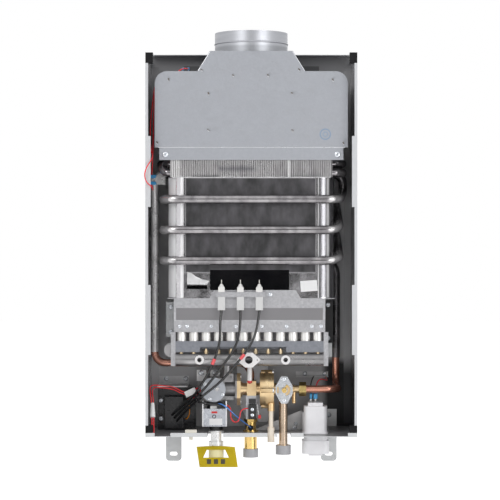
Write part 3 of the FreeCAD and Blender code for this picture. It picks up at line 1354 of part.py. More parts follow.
def plug_boots():
    """Insulating boots that join the leads to the electrodes."""
    boots = []
    for x in electrode_places():
        box = block((f"{x} - boot_width/2", f"{x} + boot_width/2"),
                    (f"{SHIELD_FRONT} - electrode_depth", SHIELD_FRONT),
                    ("boot_low", "boot_high"))
        boots.append(rounded(box, "sheet", upright))
    return group(*boots)


def electrode_clamp():
    """Strap over the ceramics with a screwed foot on the right."""
    first, last = electrode_places()[0], electrode_places()[2]
    left, right = f"({first} - electrode_width/2 - 4)", f"({last} + electrode_width/2 + 4)"
    up = ("boot_high", "clamp_high")
    front = f"{SHIELD_FRONT} - electrode_depth + 2"
    bar = block((left, right), (f"{front} - sheet", front), up)
    legs = [block((left, f"{left} + sheet"), (front, SHIELD_FRONT), up),
            block((f"{right} - sheet", right), (front, SHIELD_FRONT), up)]
    feet = [block((f"{left} - clamp_foot/2", f"{left} + sheet"),
                  (f"{SHIELD_FRONT} - sheet", SHIELD_FRONT), up),
            block((f"{right} - sheet", f"{right} + clamp_foot"),
                  (f"{SHIELD_FRONT} - sheet", SHIELD_FRONT), up)]
    return join(bar, *legs, *feet)


node("burner_frame", burner_frame())
node("burner_bars", burner_bars())
node("air_trough", air_trough())
node("gas_manifold", gas_manifold())
node("gas_nozzles", gas_nozzles())
node("burner_front_plate", group(burner_front_plate(), electrode_clamp()))
node("burner_stays", group(ear(-1), ear(1), standoffs()))
node("electrodes", group(electrode_ceramics(), electrode_wires(), plug_boots()))


def gas_valve_body():
    """Cast gas valve: body, neck towards the water valve and the riser to the manifold."""
    body = rounded(block(("gas_x - gas_half", "gas_x + gas_half"), ("-gas_front", "-gas_rear"),
                         ("gas_low", "gas_high")), "gas_corner",
                   lambda edge: abs(edge.tangentAt(edge.FirstParameter).y) > 0.999)
    neck = rod("x", ("-valve_y", "valve_z"), ("gas_x + gas_half - 2", "joint_x"), "gas_neck")
    flange = plate("YZ", valve_flange_corners(), "joint_x - flange_thick/2", "flange_thick/2")
    depth = ("-ear_front", "-riser_y - riser_radius + 2*sheet")
    upper = rounded(block(("gas_x + gas_half - 2", "ear_x"), depth, ("ear_top - ear_rise", "ear_top")), "3",
                    lambda edge: abs(edge.tangentAt(edge.FirstParameter).y) > 0.999)
    lower = block(("gas_x + gas_half - 2", "ear_x"), depth, ("gas_low + sheet", "ear_lower"))
    lug = block(("gas_x", "riser_x + riser_radius"),
                ("-riser_y - riser_radius", "-riser_y + riser_radius"),
                ("gas_high - 6", "gas_high"))
    tools = [
        rod("x", ("-valve_y", "valve_z"), ("rod_left - rod_travel - 2", "joint_x + 1"),
            "rod_radius + run_clearance"),
        rod("z", ("gas_x", "-solenoid_y"), ("gas_low - 1", "plunger_high + plunger_travel + 1"),
            "plunger_radius + run_clearance"),
        rod("z", ("gas_pipe_x", "-gas_pipe_y"), ("gas_low - 1", "gas_low + 12"), "gas_bore"),
        rod("y", ("gas_spindle_x", "gas_spindle_z"), ("-gas_front - 1", "-gas_front + 8"),
            "gas_spindle_radius + run_clearance"),
        rod("y", ("ear_x - 4", "ear_top - 5"), ("-ear_front - 1", "-ear_front + 3"), "screw_shank"),
    ]
    return cut(join(body, neck, flange, lug, upper, lower), *tools)


def valve_flange_corners():
    """Pointed outline, as (y, z), shared by the two flanges where the valves meet."""
    y, z = "-valve_y", "valve_z"
    return ((f"{y} - flange_half", f"{z} - flange_half"), (f"{y} - flange_half/2", f"{z} - flange_rise"),
            (f"{y} + flange_half/2", f"{z} - flange_rise"), (f"{y} + flange_half", f"{z} - flange_half"),
            (f"{y} + flange_half", f"{z} + flange_half"), (f"{y} + flange_half/2", f"{z} + flange_rise"),
            (f"{y} - flange_half/2", f"{z} + flange_rise"), (f"{y} - flange_half", f"{z} + flange_half"))


def gas_riser():
    """Pipe from the gas valve up to the manifold's rear."""
    points = [point("riser_x", "-riser_y", "gas_high"), point("riser_x", "-riser_y", "manifold_z"),
              point("riser_x", "-manifold_y", "manifold_z")]
    radius = value("riser_radius")
    bent = swept(points, radius, value("riser_bend"), radius - value("2*sheet"))
    drum = Part.makeCylinder(value("manifold_radius"), 200,
                             point("riser_x - 100", "-manifold_y", "manifold_z"),
                             Vector(1, 0, 0))
    return feature(bent.cut(drum))


def gas_valve_cover():
    """Cover disc with its three screwed lugs, left open for the spindle."""
    back = "-gas_front"
    face = f"{back} - cover_thick"
    disc = rod("y", ("cover_x", "cover_z"), (face, back), "cover_radius")
    boss = rod("y", ("gas_x - 5", "gas_spindle_z - 3"), (f"{face} - 1.5", face), "3.4")
    hole = rod("y", ("gas_spindle_x", "gas_spindle_z"), (f"{face} - 3", f"{back} + 1"),
               "gas_spindle_radius + run_clearance")
    return cut(join(disc, boss), hole)


def gas_spindle():
    """Brass spindle that the front cover's gas knob turns; its end has a flat."""
    face = "-gas_front - cover_thick"
    axis = ("gas_spindle_x", "gas_spindle_z")
    shaft = rod("y", axis, (f"{face} - gas_spindle_reach", "-gas_front + 7"), "gas_spindle_radius")
    flat = block(("gas_spindle_x + gas_spindle_radius/3", "gas_spindle_x + 2*gas_spindle_radius"),
                 (f"{face} - gas_spindle_reach - 1", f"{face} - 1"),
                 ("gas_spindle_z - 2*gas_spindle_radius", "gas_spindle_z + 2*gas_spindle_radius"))
    return cut(shaft, flat)


SOLENOID_FRONT = "(-solenoid_y - winding_radius)"


def solenoid_frame():
    """Steel frame round the solenoid, open above, with its lower front plate."""
    outer = block(("gas_x - frame_half", "gas_x + frame_half"), (f"{SOLENOID_FRONT} - frame_sheet",
                  "-solenoid_y + winding_radius"), ("frame_low", "gas_low"))
    inner = block(("gas_x - frame_half + frame_sheet", "gas_x + frame_half - frame_sheet"),
                  (SOLENOID_FRONT, "-solenoid_y + winding_radius + 1"),
                  ("frame_low + frame_sheet", "gas_low + 1"))
    window = block(("gas_x - frame_half + frame_sheet", "gas_x + frame_half - frame_sheet"),
                   (f"{SOLENOID_FRONT} - 2*frame_sheet", SOLENOID_FRONT),
                   ("frame_front_high", "gas_low + 1"))
    return cut(outer, inner, window)


def solenoid_coil():
    """Winding on its bobbin, with the seats in the frame and the terminals above the front plate."""
    axis = ("gas_x", "-solenoid_y")
    winding = rod("z", axis, ("winding_low", "winding_high"), "winding_radius - 1.5")
    ends = [rod("z", axis, ("frame_low + frame_sheet", "winding_low + 1"), "winding_radius"),
            rod("z", axis, ("winding_high - 1", "winding_high + 1"), "winding_radius"),
            rod("z", axis, ("winding_high", "gas_low"), "gas_front - solenoid_y - cap_clearance")]
    bore = rod("z", axis, ("frame_low + frame_sheet + 1", "gas_low + 1"), "plunger_radius + run_clearance")
    raised = "frame_front_high + cap_clearance"
    block_top = block(("gas_x - bobbin_left", "gas_x + bobbin_right"), (SOLENOID_FRONT, "-solenoid_y"),
                      (raised, "bobbin_high"))
    terminals = block(("gas_x + bobbin_right", "gas_x + frame_half - frame_sheet - cap_clearance"),
                      (f"{SOLENOID_FRONT} - frame_sheet", "-solenoid_y"), (raised, "winding_high + 1"))
    return cut(join(winding, block_top, terminals, *ends), bore)


def inlet_boot():
    """Tapered plastic collar on the gas inlet."""
    axis = ("gas_pipe_x", "-gas_pipe_y")
    body = cone("z", axis, ("boot_taper_low", "boot_taper_high"), "gas_pipe_radius + 1",
                "gas_pipe_radius + 3.4")
    return cut(body, rod("z", axis, ("boot_taper_low - 1", "boot_taper_high + 1"), "gas_pipe_radius"))


def gas_inlet_pipe():
    """Gas inlet: pipe from the valve body down to the ring and the half inch thread."""
    axis = ("gas_pipe_x", "-gas_pipe_y")
    parts = [
        rod("z", axis, ("gas_ring_low", "gas_low"), "gas_pipe_radius"),
        rod("z", axis, ("gas_ring_low", "gas_ring_high"), "gas_ring"),
        rod("z", axis, ("gas_end", "gas_ring_low"), "thread_radius"),
    ]
    return cut(join(*parts), rod("z", axis, ("gas_end - 1", "gas_low + 1"), "gas_bore"))


def thread_cap(x, y, end, high):
    """A push-on transport cap over a pipe thread."""
    inside = "(thread_radius + cap_clearance)"
    cup = rod("z", (x, y), (f"{end} - cap_wall", high), f"{inside} + cap_wall")
    return cut(cup, rod("z", (x, y), (end, f"{high} + 1"), inside))


def gas_tag():
    """Hanging tag: a collar round the thread and a printed face with a window for the cap."""
    top = "gas_ring_low"
    collar = block(("gas_pipe_x - gas_ring - 2", "gas_pipe_x + gas_ring + 2"),
                   ("-tag_y", "-gas_pipe_y + gas_ring + 2"),
                   (f"{top} - tag_sheet", top))
    hole = rod("z", ("gas_pipe_x", "-gas_pipe_y"), (f"{top} - 3", f"{top} + 1"),
               "thread_radius + cap_clearance/2")
    face = plate("XZ", (
        ("tag_left", "tag_high - 1"), ("tag_left + 5", "tag_low"), ("tag_right + 3", "tag_low"),
        ("tag_right - 2", "tag_high - 1.5"), ("gas_pipe_x + gas_ring + 2", "tag_high"),
        ("gas_pipe_x - gas_ring - 2", "tag_high")), "tag_y - tag_sheet", "tag_sheet")
    window = plate("XZ", (
        ("gas_pipe_x - gas_ring - 3", f"{top} - tag_sheet - 0.5"),
        ("gas_pipe_x - gas_ring - 9", f"{top} - 14"),
        ("gas_pipe_x + gas_ring + 9", f"{top} - 14"),
        ("gas_pipe_x + gas_ring + 3", f"{top} - tag_sheet - 0.5")),
        "tag_y - 3", "6")
    return cut(join(collar, face), hole, window)


def gas_stay():
    """Zinc stay that holds the gas valve to the back panel."""
    x = ("gas_tab_left", "gas_tab_left + gas_tab_pitch + gas_tab_width")
    tabs = [block((left, f"{left} + gas_tab_width"), ("-gas_tab_y - bracket_sheet", "-gas_tab_y"),
                  ("gas_tab_low - bracket_sheet", "gas_tab_high"))
            for left in ("gas_tab_left", "gas_tab_left + gas_tab_pitch")]
    shelf = block(x, ("-gas_tab_y - bracket_sheet", "-sheet"), ("gas_tab_low - bracket_sheet", "gas_tab_low"))
    tongue = block(("gas_x - gas_half", x[1]), ("-gas_rear", "-gas_tab_y"),
                   ("gas_tab_low - bracket_sheet", "gas_tab_low"))
    foot = block(x, ("-sheet - bracket_sheet", "-sheet"), ("gas_tab_low - 12", "gas_tab_low"))
    return join(shelf, tongue, foot, *tabs)


node("gas_valve_body", join(gas_valve_body(), gas_riser()))
node("gas_valve_cover", gas_valve_cover())
node("gas_spindle", gas_spindle())
node("solenoid_frame", solenoid_frame())
node("solenoid_coil", solenoid_coil())
node("solenoid_plunger", rod("z", ("gas_x", "-solenoid_y"), ("plunger_low", "plunger_high"),
                             "plunger_radius"))
node("gas_inlet_pipe", group(gas_inlet_pipe(), inlet_boot()))
node("gas_inlet_cap", thread_cap("gas_pipe_x", "-gas_pipe_y", "gas_end",
                                 "gas_ring_low - tag_sheet - cap_clearance"))
node("gas_tag", gas_tag())


VALVE = ("-valve_y", "valve_z")
HOUSING_MIDDLE = "(housing_left + housing_right)/2"


def water_valve_body():
    """Cast water valve: flange, neck, membrane housing, flow selector housing, nipple and cold inlet."""
    selector = ("selector_x", "valve_z")
    parts = [
        plate("YZ", valve_flange_corners(), "joint_x", "flange_thick"),
        rod("x", VALVE, ("joint_x + flange_thick - 1", "housing_left + 1"), "neck_radius"),
        rod("x", VALVE, ("joint_x + flange_thick - 1", "joint_x + flange_thick + 3"), "neck_radius + 2.4"),
        block(("switch_block_left", "switch_block_right"),
              ("-valve_y - switch_block_half", "-valve_y + switch_block_half"),
              ("valve_z - switch_block_half", "valve_z + switch_block_half")),
        rod("x", VALVE, ("housing_left", "housing_right"), "housing_radius"),
        rod("x", VALVE, (f"{HOUSING_MIDDLE} - housing_flange/2", f"{HOUSING_MIDDLE} + housing_flange/2"),
            "housing_radius + 2"),
        rod("x", VALVE, ("housing_right - 1", "selector_x"), "neck_radius"),
        rod("y", selector, ("-selector_front", "-selector_rear"), "selector_radius"),
        rod("x", VALVE, ("selector_x", "nut_x + nut_length/2"), "nipple_radius"),
        rod("x", VALVE, ("selector_x + selector_radius - 3", "selector_x + selector_radius + 3"),
            "nipple_radius + 2"),
        rod("z", ("selector_x + selector_radius + 3.5", "-valve_y"), ("valve_z - 23", "valve_z - 3"),
            "nipple_radius/2"),
        rod("z", ("cold_x", "-valve_y"), ("cold_end", "valve_z - 4"), "cold_pipe_radius"),
        rod("z", ("cold_x", "-valve_y"), ("cold_end", "cold_thread_high"), "thread_radius"),
        rod("z", ("drain_x", "-drain_y"), ("drain_neck_low", "valve_z - 20"), "drain_neck"),
    ]
    for rise in (-17.6, 17.6):
        parts.append(rod("y", ("selector_x", f"valve_z + {rise}"),
                         ("-selector_front", "-selector_front + 16"), "4.6"))
        parts.append(block(("selector_x - 4", "selector_x + 4"), ("-selector_front", "-selector_front + 16"),
                           (f"valve_z + {min(rise, 0)}", f"valve_z + {max(rise, 0)}")))
    for turn in range(4):
        dy, dz = ((0, 1), (0, -1), (1, 0), (-1, 0))[turn]
        parts.append(rod("x", (f"-valve_y + {dy}*lug_rise", f"valve_z + {dz}*lug_rise"),
                         ("housing_left + 2", "housing_right - 2"), "lug_radius"))
    tools = [
        rod("x", VALVE, ("housing_left + housing_wall", "housing_right - housing_wall"), "housing_cavity"),
        rod("x", VALVE, ("joint_x - 1", "housing_left + housing_wall + 1"), "rod_radius + run_clearance"),
        rod("y", selector, ("-selector_front - 1", "-selector_front + selector_depth"),
            "selector_spindle + run_clearance"),
        rod("z", ("cold_x", "-valve_y"), ("cold_end - 1", "valve_z - 8"), "cold_pipe_radius - 1.5"),
        rod("z", ("drain_x", "-drain_y"), ("drain_neck_low - 1", "drain_neck_low + drain_bite"),
            "drain_radius + run_clearance"),
        rod("x", VALVE, ("selector_x + selector_radius", "nut_x + nut_length"), "nipple_radius - 1.5"),
    ]
    return cut(join(*parts), *tools)


PLATE_FRONT = "(-selector_front - selector_plate)"
SLOT_SWEEP = 140
PIN_TURN = SLOT_SWEEP / 2 - 12


def slot_sector(clearance):
    """The curved slot that the stop pin runs in, to the right of the selector's axis."""
    orbit, half = value("pin_orbit"), value("pin_radius") + clearance
    high = value("selector_plate") + 2
    sector = Part.makeCylinder(orbit + half, high, Vector(), Vector(0, 0, 1), SLOT_SWEEP)
    sector = sector.cut(Part.makeCylinder(orbit - half, high))
    sector.rotate(Vector(), Vector(0, 0, 1), -SLOT_SWEEP / 2)
    sector.Placement = Placement(point("selector_x", "-selector_front + 1", "valve_z"),
                                 Rotation(Vector(1, 0, 0), 90)) * sector.Placement
    return sector


def selector_plate():
    """Faceplate of the flow selector with the spindle hole, the curved slot and two screws' lugs."""
    half, rise = "selector_plate_half", "selector_plate_rise"
    flat = f"{rise}*0.27"
    top = f"{half}*0.36"
    right = ((top, rise), (half, flat), (half, f"-{flat}"), (top, f"-{rise}"))
    corners = [(f"selector_x + {x}", f"valve_z + {z}") for x, z in right]
    corners += [(f"selector_x - {x}", f"valve_z + {z}") for x, z in reversed(right)]
    base = rounded(plate("XZ", corners, "selector_front", "selector_plate"), "3*sheet",
                   lambda edge: abs(edge.tangentAt(edge.FirstParameter).y) > 0.999)
    sector = slot_sector(value("pin_play"))
    hole = rod("y", ("selector_x", "valve_z"), (f"{PLATE_FRONT} - 1", "-selector_front + 1"),
               "selector_spindle + run_clearance")
    side = block(("selector_x - 11.6", "selector_x - 8.6"), (f"{PLATE_FRONT} - 1", "-selector_front + 1"),
                 ("valve_z - 5", "valve_z + 5"))
    return cut(base, hole, side, feature(sector))


def selector_spindle():
    """Spindle of the flow selector with its pointer arm and stop pin."""
    axis = ("selector_x", "valve_z")
    shaft = rod("y", axis, (f"{PLATE_FRONT} - selector_reach", "-selector_front + selector_depth - 1"),
                "selector_spindle")
    kerf = block(("selector_x - 0.6", "selector_x + 0.6"), (f"{PLATE_FRONT} - selector_reach - 1",
                 f"{PLATE_FRONT} - selector_reach + 3"), ("valve_z - 5", "valve_z + 5"))
    turn = math.radians(PIN_TURN)
    tip = (f"selector_x + pin_orbit*{math.cos(turn):.5f}", f"valve_z + pin_orbit*{math.sin(turn):.5f}")
    pin = rod("y", tip, (f"{PLATE_FRONT} - 1.6", "-selector_front - 0.1"), "pin_radius")
    arm = Part.makeBox(value("pin_orbit"), 1.4, 3, Vector(0, -0.7, -1.5))
    arm.Placement = Placement(point("selector_x", f"{PLATE_FRONT} - 0.9", "valve_z"),
                              Rotation(Vector(0, -1, 0), math.degrees(turn)))
    return join(cut(shaft, kerf), pin, feature(arm))


def membrane_rod():
    """Membrane plate with the push rod that opens the gas valve when water flows."""
    disc = rod("x", VALVE, ("membrane_rest_x - membrane_thick", "membrane_rest_x"), "membrane_radius")
    return join(disc, rod("x", VALVE, ("rod_left", "membrane_rest_x - membrane_thick/2"), "rod_radius"))


def drain_screw():
    """Drain screw with its knob below the floor."""
    axis = ("drain_x", "-drain_y")
    shank = rod("z", axis, ("drain_knob_high - 1", "drain_neck_low + drain_bite - 1"), "drain_radius")
    knob = rod("z", axis, ("drain_low", "drain_knob_high"), "drain_knob")
    grips = [block(("drain_x - drain_knob - 1", "drain_x + drain_knob + 1"),
                   (f"-drain_y {sign} drain_knob*1.7 - 3.4",
                   f"-drain_y {sign} drain_knob*1.7 + 3.4"),
                   ("drain_low - 1", "drain_low + 10")) for sign in "+-"]
    return join(cut(knob, *grips), shank)


def hot_outlet_tube():
    """Hot water outlet: brass tube with a collar on the floor and the half inch thread."""
    axis = ("hot_x", "-hot_y")
    parts = [
        rod("z", axis, ("hot_thread_high - 1", "hot_top"), "thread_radius - 1.4"),
        rod("z", axis, ("hot_end", "hot_thread_high"), "thread_radius"),
        rod("z", axis, ("sheet", "3*sheet"), "thread_radius + 2.4"),
        hexagon("z", axis, ("hot_top - 7", "hot_top - 1"), "thread_radius + 0.6"),
    ]
    bore = rod("z", axis, ("hot_end - 1", "hot_top - 2"), "thread_bore")
    mouth = rod("z", ("hot_x", "-return_y"), ("hot_top - 3", "hot_top + 1"), "pipe_diameter/2 - pipe_wall")
    return cut(join(*parts), bore, mouth)


def outlet_sensor():
    """Temperature sensor strapped on the hot outlet."""
    body = rod("y", ("hot_x", "sensor_z"), ("-hot_y - thread_radius - 4", "-hot_y - 4"), "sensor_radius")
    return cut(body, rod("z", ("hot_x", "-hot_y"), ("0", "2*sensor_z"), "thread_radius - 1.4"))


def pipe_nut():
    """Union nut between the valve's nipple and the feed pipe."""
    nut = hexagon("x", VALVE, ("nut_x", "nut_x + nut_length"), "nut_radius")
    barrel = rod("x", VALVE, ("nut_x - 1", "nut_x + nut_length + 1"), "nut_radius*0.94")
    bevelled = add("Part::MultiCommon", "bevelled")
    bevelled.Shapes = [nut, barrel]
    return cut(bevelled, rod("x", VALVE, ("nut_x - 2", "nut_x + nut_length + 2"), "nipple_radius"))


SWITCH_BACK = "(-valve_y - switch_block_half - switch_plate)"


def micro_switch():
    """Micro switch on its bracket, with its connector above."""
    body = block(("switch_left", "switch_right"), (f"{SWITCH_BACK} - switch_depth", SWITCH_BACK),
                 ("switch_low", "switch_high"))
    middle = "(switch_left + switch_right)/2"
    holes = [rod("y", (middle, f"switch_low + {up}*(switch_high - switch_low)"),
                 (f"{SWITCH_BACK} - switch_depth - 1", f"{SWITCH_BACK} + 3"),
                 "sheet*1.2") for up in (0.28, 0.67)]
    plug = block(("switch_left + 1", "switch_right - 0.6"), (f"{SWITCH_BACK} - 7", SWITCH_BACK),
                 ("switch_high + 2", "switch_high + 9"))
    tabs = [block((f"{x} - 0.4", f"{x} + 0.4"), (f"{SWITCH_BACK} - 5.5", f"{SWITCH_BACK} - 1.5"),
                  ("switch_high", "switch_high + 2")) for x in ("switch_left + 3", middle,
                                                                "switch_right - 3")]
    bracket = block(("switch_left - 4", "switch_right"), (SWITCH_BACK, "-valve_y - switch_block_half"),
                    ("switch_low - 0.6", "valve_z - switch_block_half + 4"))
    return join(cut(body, *holes), plug, *tabs, cut(bracket, *holes))


PIVOT_X = "switch_right + 1.1"


def switch_lever():
    """Lever with a tip, which the valve's rod lets go of when water flows."""
    y = (f"{SWITCH_BACK} - switch_depth + 3", f"{SWITCH_BACK} - switch_depth + 8")
    blade = plate("XZ", (
        (f"{PIVOT_X} - 0.4", "lever_pivot_z + 2"), (f"{PIVOT_X} + 0.4", "lever_pivot_z + 2"),
        (f"{PIVOT_X} + 0.4 + lever_lean", "lever_low"), (f"{PIVOT_X} - 0.4 + lever_lean", "lever_low")),
        f"-({y[1]})", "5")
    tip = block((f"{PIVOT_X} + lever_lean - 1", f"{PIVOT_X} + lever_lean + 3.3"), y,
                ("lever_tip_low", "lever_low"))
    return join(blade, tip, rod("y", (PIVOT_X, "lever_pivot_z"), y, "sheet*0.8"))


def adjusting_rod():
    """Plastic rod before the valve, with its coloured tip."""
    axis = ("adjuster_x", "-valve_y - switch_block_half - adjuster_radius")
    return join(rod("z", axis, ("adjuster_tip + 2", "adjuster_high"), "adjuster_radius"),
                cone("z", axis, ("adjuster_tip", "adjuster_tip + 2"), "adjuster_radius*0.4",
                     "adjuster_radius"))


node("water_valve_body", water_valve_body())
node("selector_plate", selector_plate())
node("selector_spindle", selector_spindle())
node("membrane_rod", membrane_rod())
node("drain_screw", drain_screw())
node("cold_inlet_cap", thread_cap("cold_x", "-valve_y", "cold_end", "cold_cap_high"))
node("hot_outlet_tube", hot_outlet_tube())
node("hot_outlet_cap", thread_cap("hot_x", "-hot_y", "hot_end", "hot_cap_high"))
node("pipe_nut", pipe_nut())
node("micro_switch", micro_switch())
node("switch_lever", switch_lever())
node("adjusting_rod", adjusting_rod())
node("temperature_switches", group(spill_sensor(), thermostat(), outlet_sensor()))


def control_unit():
    """Ignition control unit: base with its keyhole strip, raised lid and connector bay."""
    base = block(("control_left", "control_right"), ("-control_face", "-control_rear"),
                 ("sheet", "control_high"))
    lid = block(("lid_left", "lid_right"), ("-lid_front", "-control_face + 1"), ("lid_low", "lid_high"))
    lid = rounded(lid, "1.5*sheet", upright)
    bay = block(("lid_right", "control_right - 3"), ("-control_face - 9", "-control_face + 1"),
                ("lid_low + 8", "lid_high - 6"))
    tools = []
    for low in ("lid_low + 9", "lid_high - 12.6"):
        middle = "(control_left + lid_left)/2"
        depth = ("-control_face - 1", "-control_rear + 1")
        tools.append(block((f"{middle} - 1.4", f"{middle} + 1.4"), depth, (low, f"{low} + 12")))
        tools.append(rod("y", (middle, f"{low} + 10"), depth, "2.7"))
    return join(cut(base, *tools), lid, bay)


def stays():
    """Inner sheet brackets: the gas valve's, the control unit's, the right one and the battery gusset."""
    top = "control_high + bracket_sheet"
    left = join(
        block(("stay_left_x", "stay_left_end"), ("-control_face", "-sheet"), ("control_high", top)),
        block(("stay_left_x", "stay_left_end"), ("-sheet - bracket_sheet", "-sheet"),
              ("control_high", "stay_left_high")))
    right = join(
        block(("stay_right_x", "stay_right_end"), ("-stay_right_y", "-sheet"),
              ("stay_right_low", "stay_right_low + bracket_sheet")),
        block(("stay_right_x", "stay_right_end"), ("-sheet - bracket_sheet", "-sheet"),
              ("stay_right_low", "stay_right_high")))
    room = "(cell_radius + holder_play + holder_wall)"
    gusset = plate("XZ", (
        ("gusset_left", "sheet"), (f"cell_x - {room}", "sheet"), (f"cell_x - {room}", "gusset_high"),
        (f"cell_x - {room} - 4", "gusset_high"), ("gusset_left", "sheet + bracket_sheet")), "gusset_y",
        "bracket_sheet")
    arm = block((f"cell_x - {room} - bracket_sheet", f"cell_x - {room}"), ("-cell_y + 8", "-gusset_y"),
                ("4*sheet", "gusset_high"))
    return group(gas_stay(), left, right, join(gusset, arm))


def pipe_plate():
    """Sheet plate on the back panel, behind the water valve and the hot outlet."""
    outline = (
        ("pipe_plate_left", "pipe_plate_high"), ("pipe_plate_left", "pipe_plate_slant"),
        ("pipe_plate_left + 16", "pipe_plate_step"), ("pipe_plate_left + 32", "pipe_plate_step"),
        ("pipe_plate_left + 37", "pipe_plate_low"), ("pipe_plate_right", "pipe_plate_low"),
        ("pipe_plate_right", "pipe_plate_high"))
    body = plate("XZ", outline, "sheet", "bracket_sheet")
    return rounded(body, "pipe_plate_round", lambda edge: abs(edge.tangentAt(edge.FirstParameter).y) > 0.999)


HOLDER = "(cell_radius + holder_play + holder_wall)"


def battery_holder():
    """Battery holder: rounded case, open below, with its collar on the floor and the terminal block."""
    outer = rounded(block((f"cell_x - {HOLDER}", f"cell_x + {HOLDER}"),
                          (f"-cell_y - {HOLDER}", f"-cell_y + {HOLDER}"),
                          ("holder_low", "holder_high")), "holder_round", upright)
    collar = rounded(block((f"cell_x - {HOLDER} - 2", f"cell_x + {HOLDER} + 2"), (f"-cell_y - {HOLDER} - 2",
                           f"-cell_y + {HOLDER}"), ("sheet", "3*sheet")), "holder_round", upright)
    terminals = block(("cell_x - 12", "cell_x + 12"), ("-cell_y - 8", "-cell_y + 17"),
                      ("holder_high - 1", "holder_high + 5.2"))
    bore = rod("z", ("cell_x", "-cell_y"), ("holder_low - 1", "holder_high - holder_wall"),
               "cell_radius + holder_play")
    return cut(join(outer, collar, terminals), bore)


def battery_cap():
    """Cap that carries the battery and pulls down out of the holder."""
    body = rounded(block(("cell_x - tray_half", "cell_x + tray_half"),
                         ("-cell_y - tray_half", "-cell_y + tray_half"),
                         ("tray_low", "holder_low")), "holder_round", upright)
    foot = block(("cell_x - tray_half/2", "cell_x + tray_half/2"),
                 ("-cell_y - tray_half/2", "-cell_y + tray_half/2"),
                 ("tray_low - tray_foot", "tray_low"))
    seat = rod("z", ("cell_x", "-cell_y"), ("cell_low", "holder_low + 1"), "cell_radius + holder_play")
    return cut(join(body, foot), seat)


def battery():
    """The cell with its raised positive pole."""
    axis = ("cell_x", "-cell_y")
    return join(rod("z", axis, ("cell_low", "cell_low + cell_length - 1.5"), "cell_radius"),
                rod("z", axis, ("cell_low", "cell_low + cell_length"), "cell_radius*0.28"))


def battery_contacts():
    """Upper contact with its two tabs above the terminal block."""
    axis = ("cell_x", "-cell_y")
    contact = rod("z", axis, ("cell_low + cell_length", "holder_high - holder_wall"), "cell_radius*0.28")
    tabs = [block((f"cell_x + {at} - 1.5", f"cell_x + {at} + 1.5"), ("-cell_y + 13.6", "-cell_y + 14.4"),
                  ("holder_high + 5.2", "holder_high + 10")) for at in (-6.9, 0.7)]
    return group(contact, *tabs)


node("control_unit", control_unit())
node("inner_stays", stays())
node("pipe_plate", pipe_plate())
node("battery_holder", battery_holder())
node("battery_cap", battery_cap())
node("battery_cell", battery())
node("battery_contacts", battery_contacts())


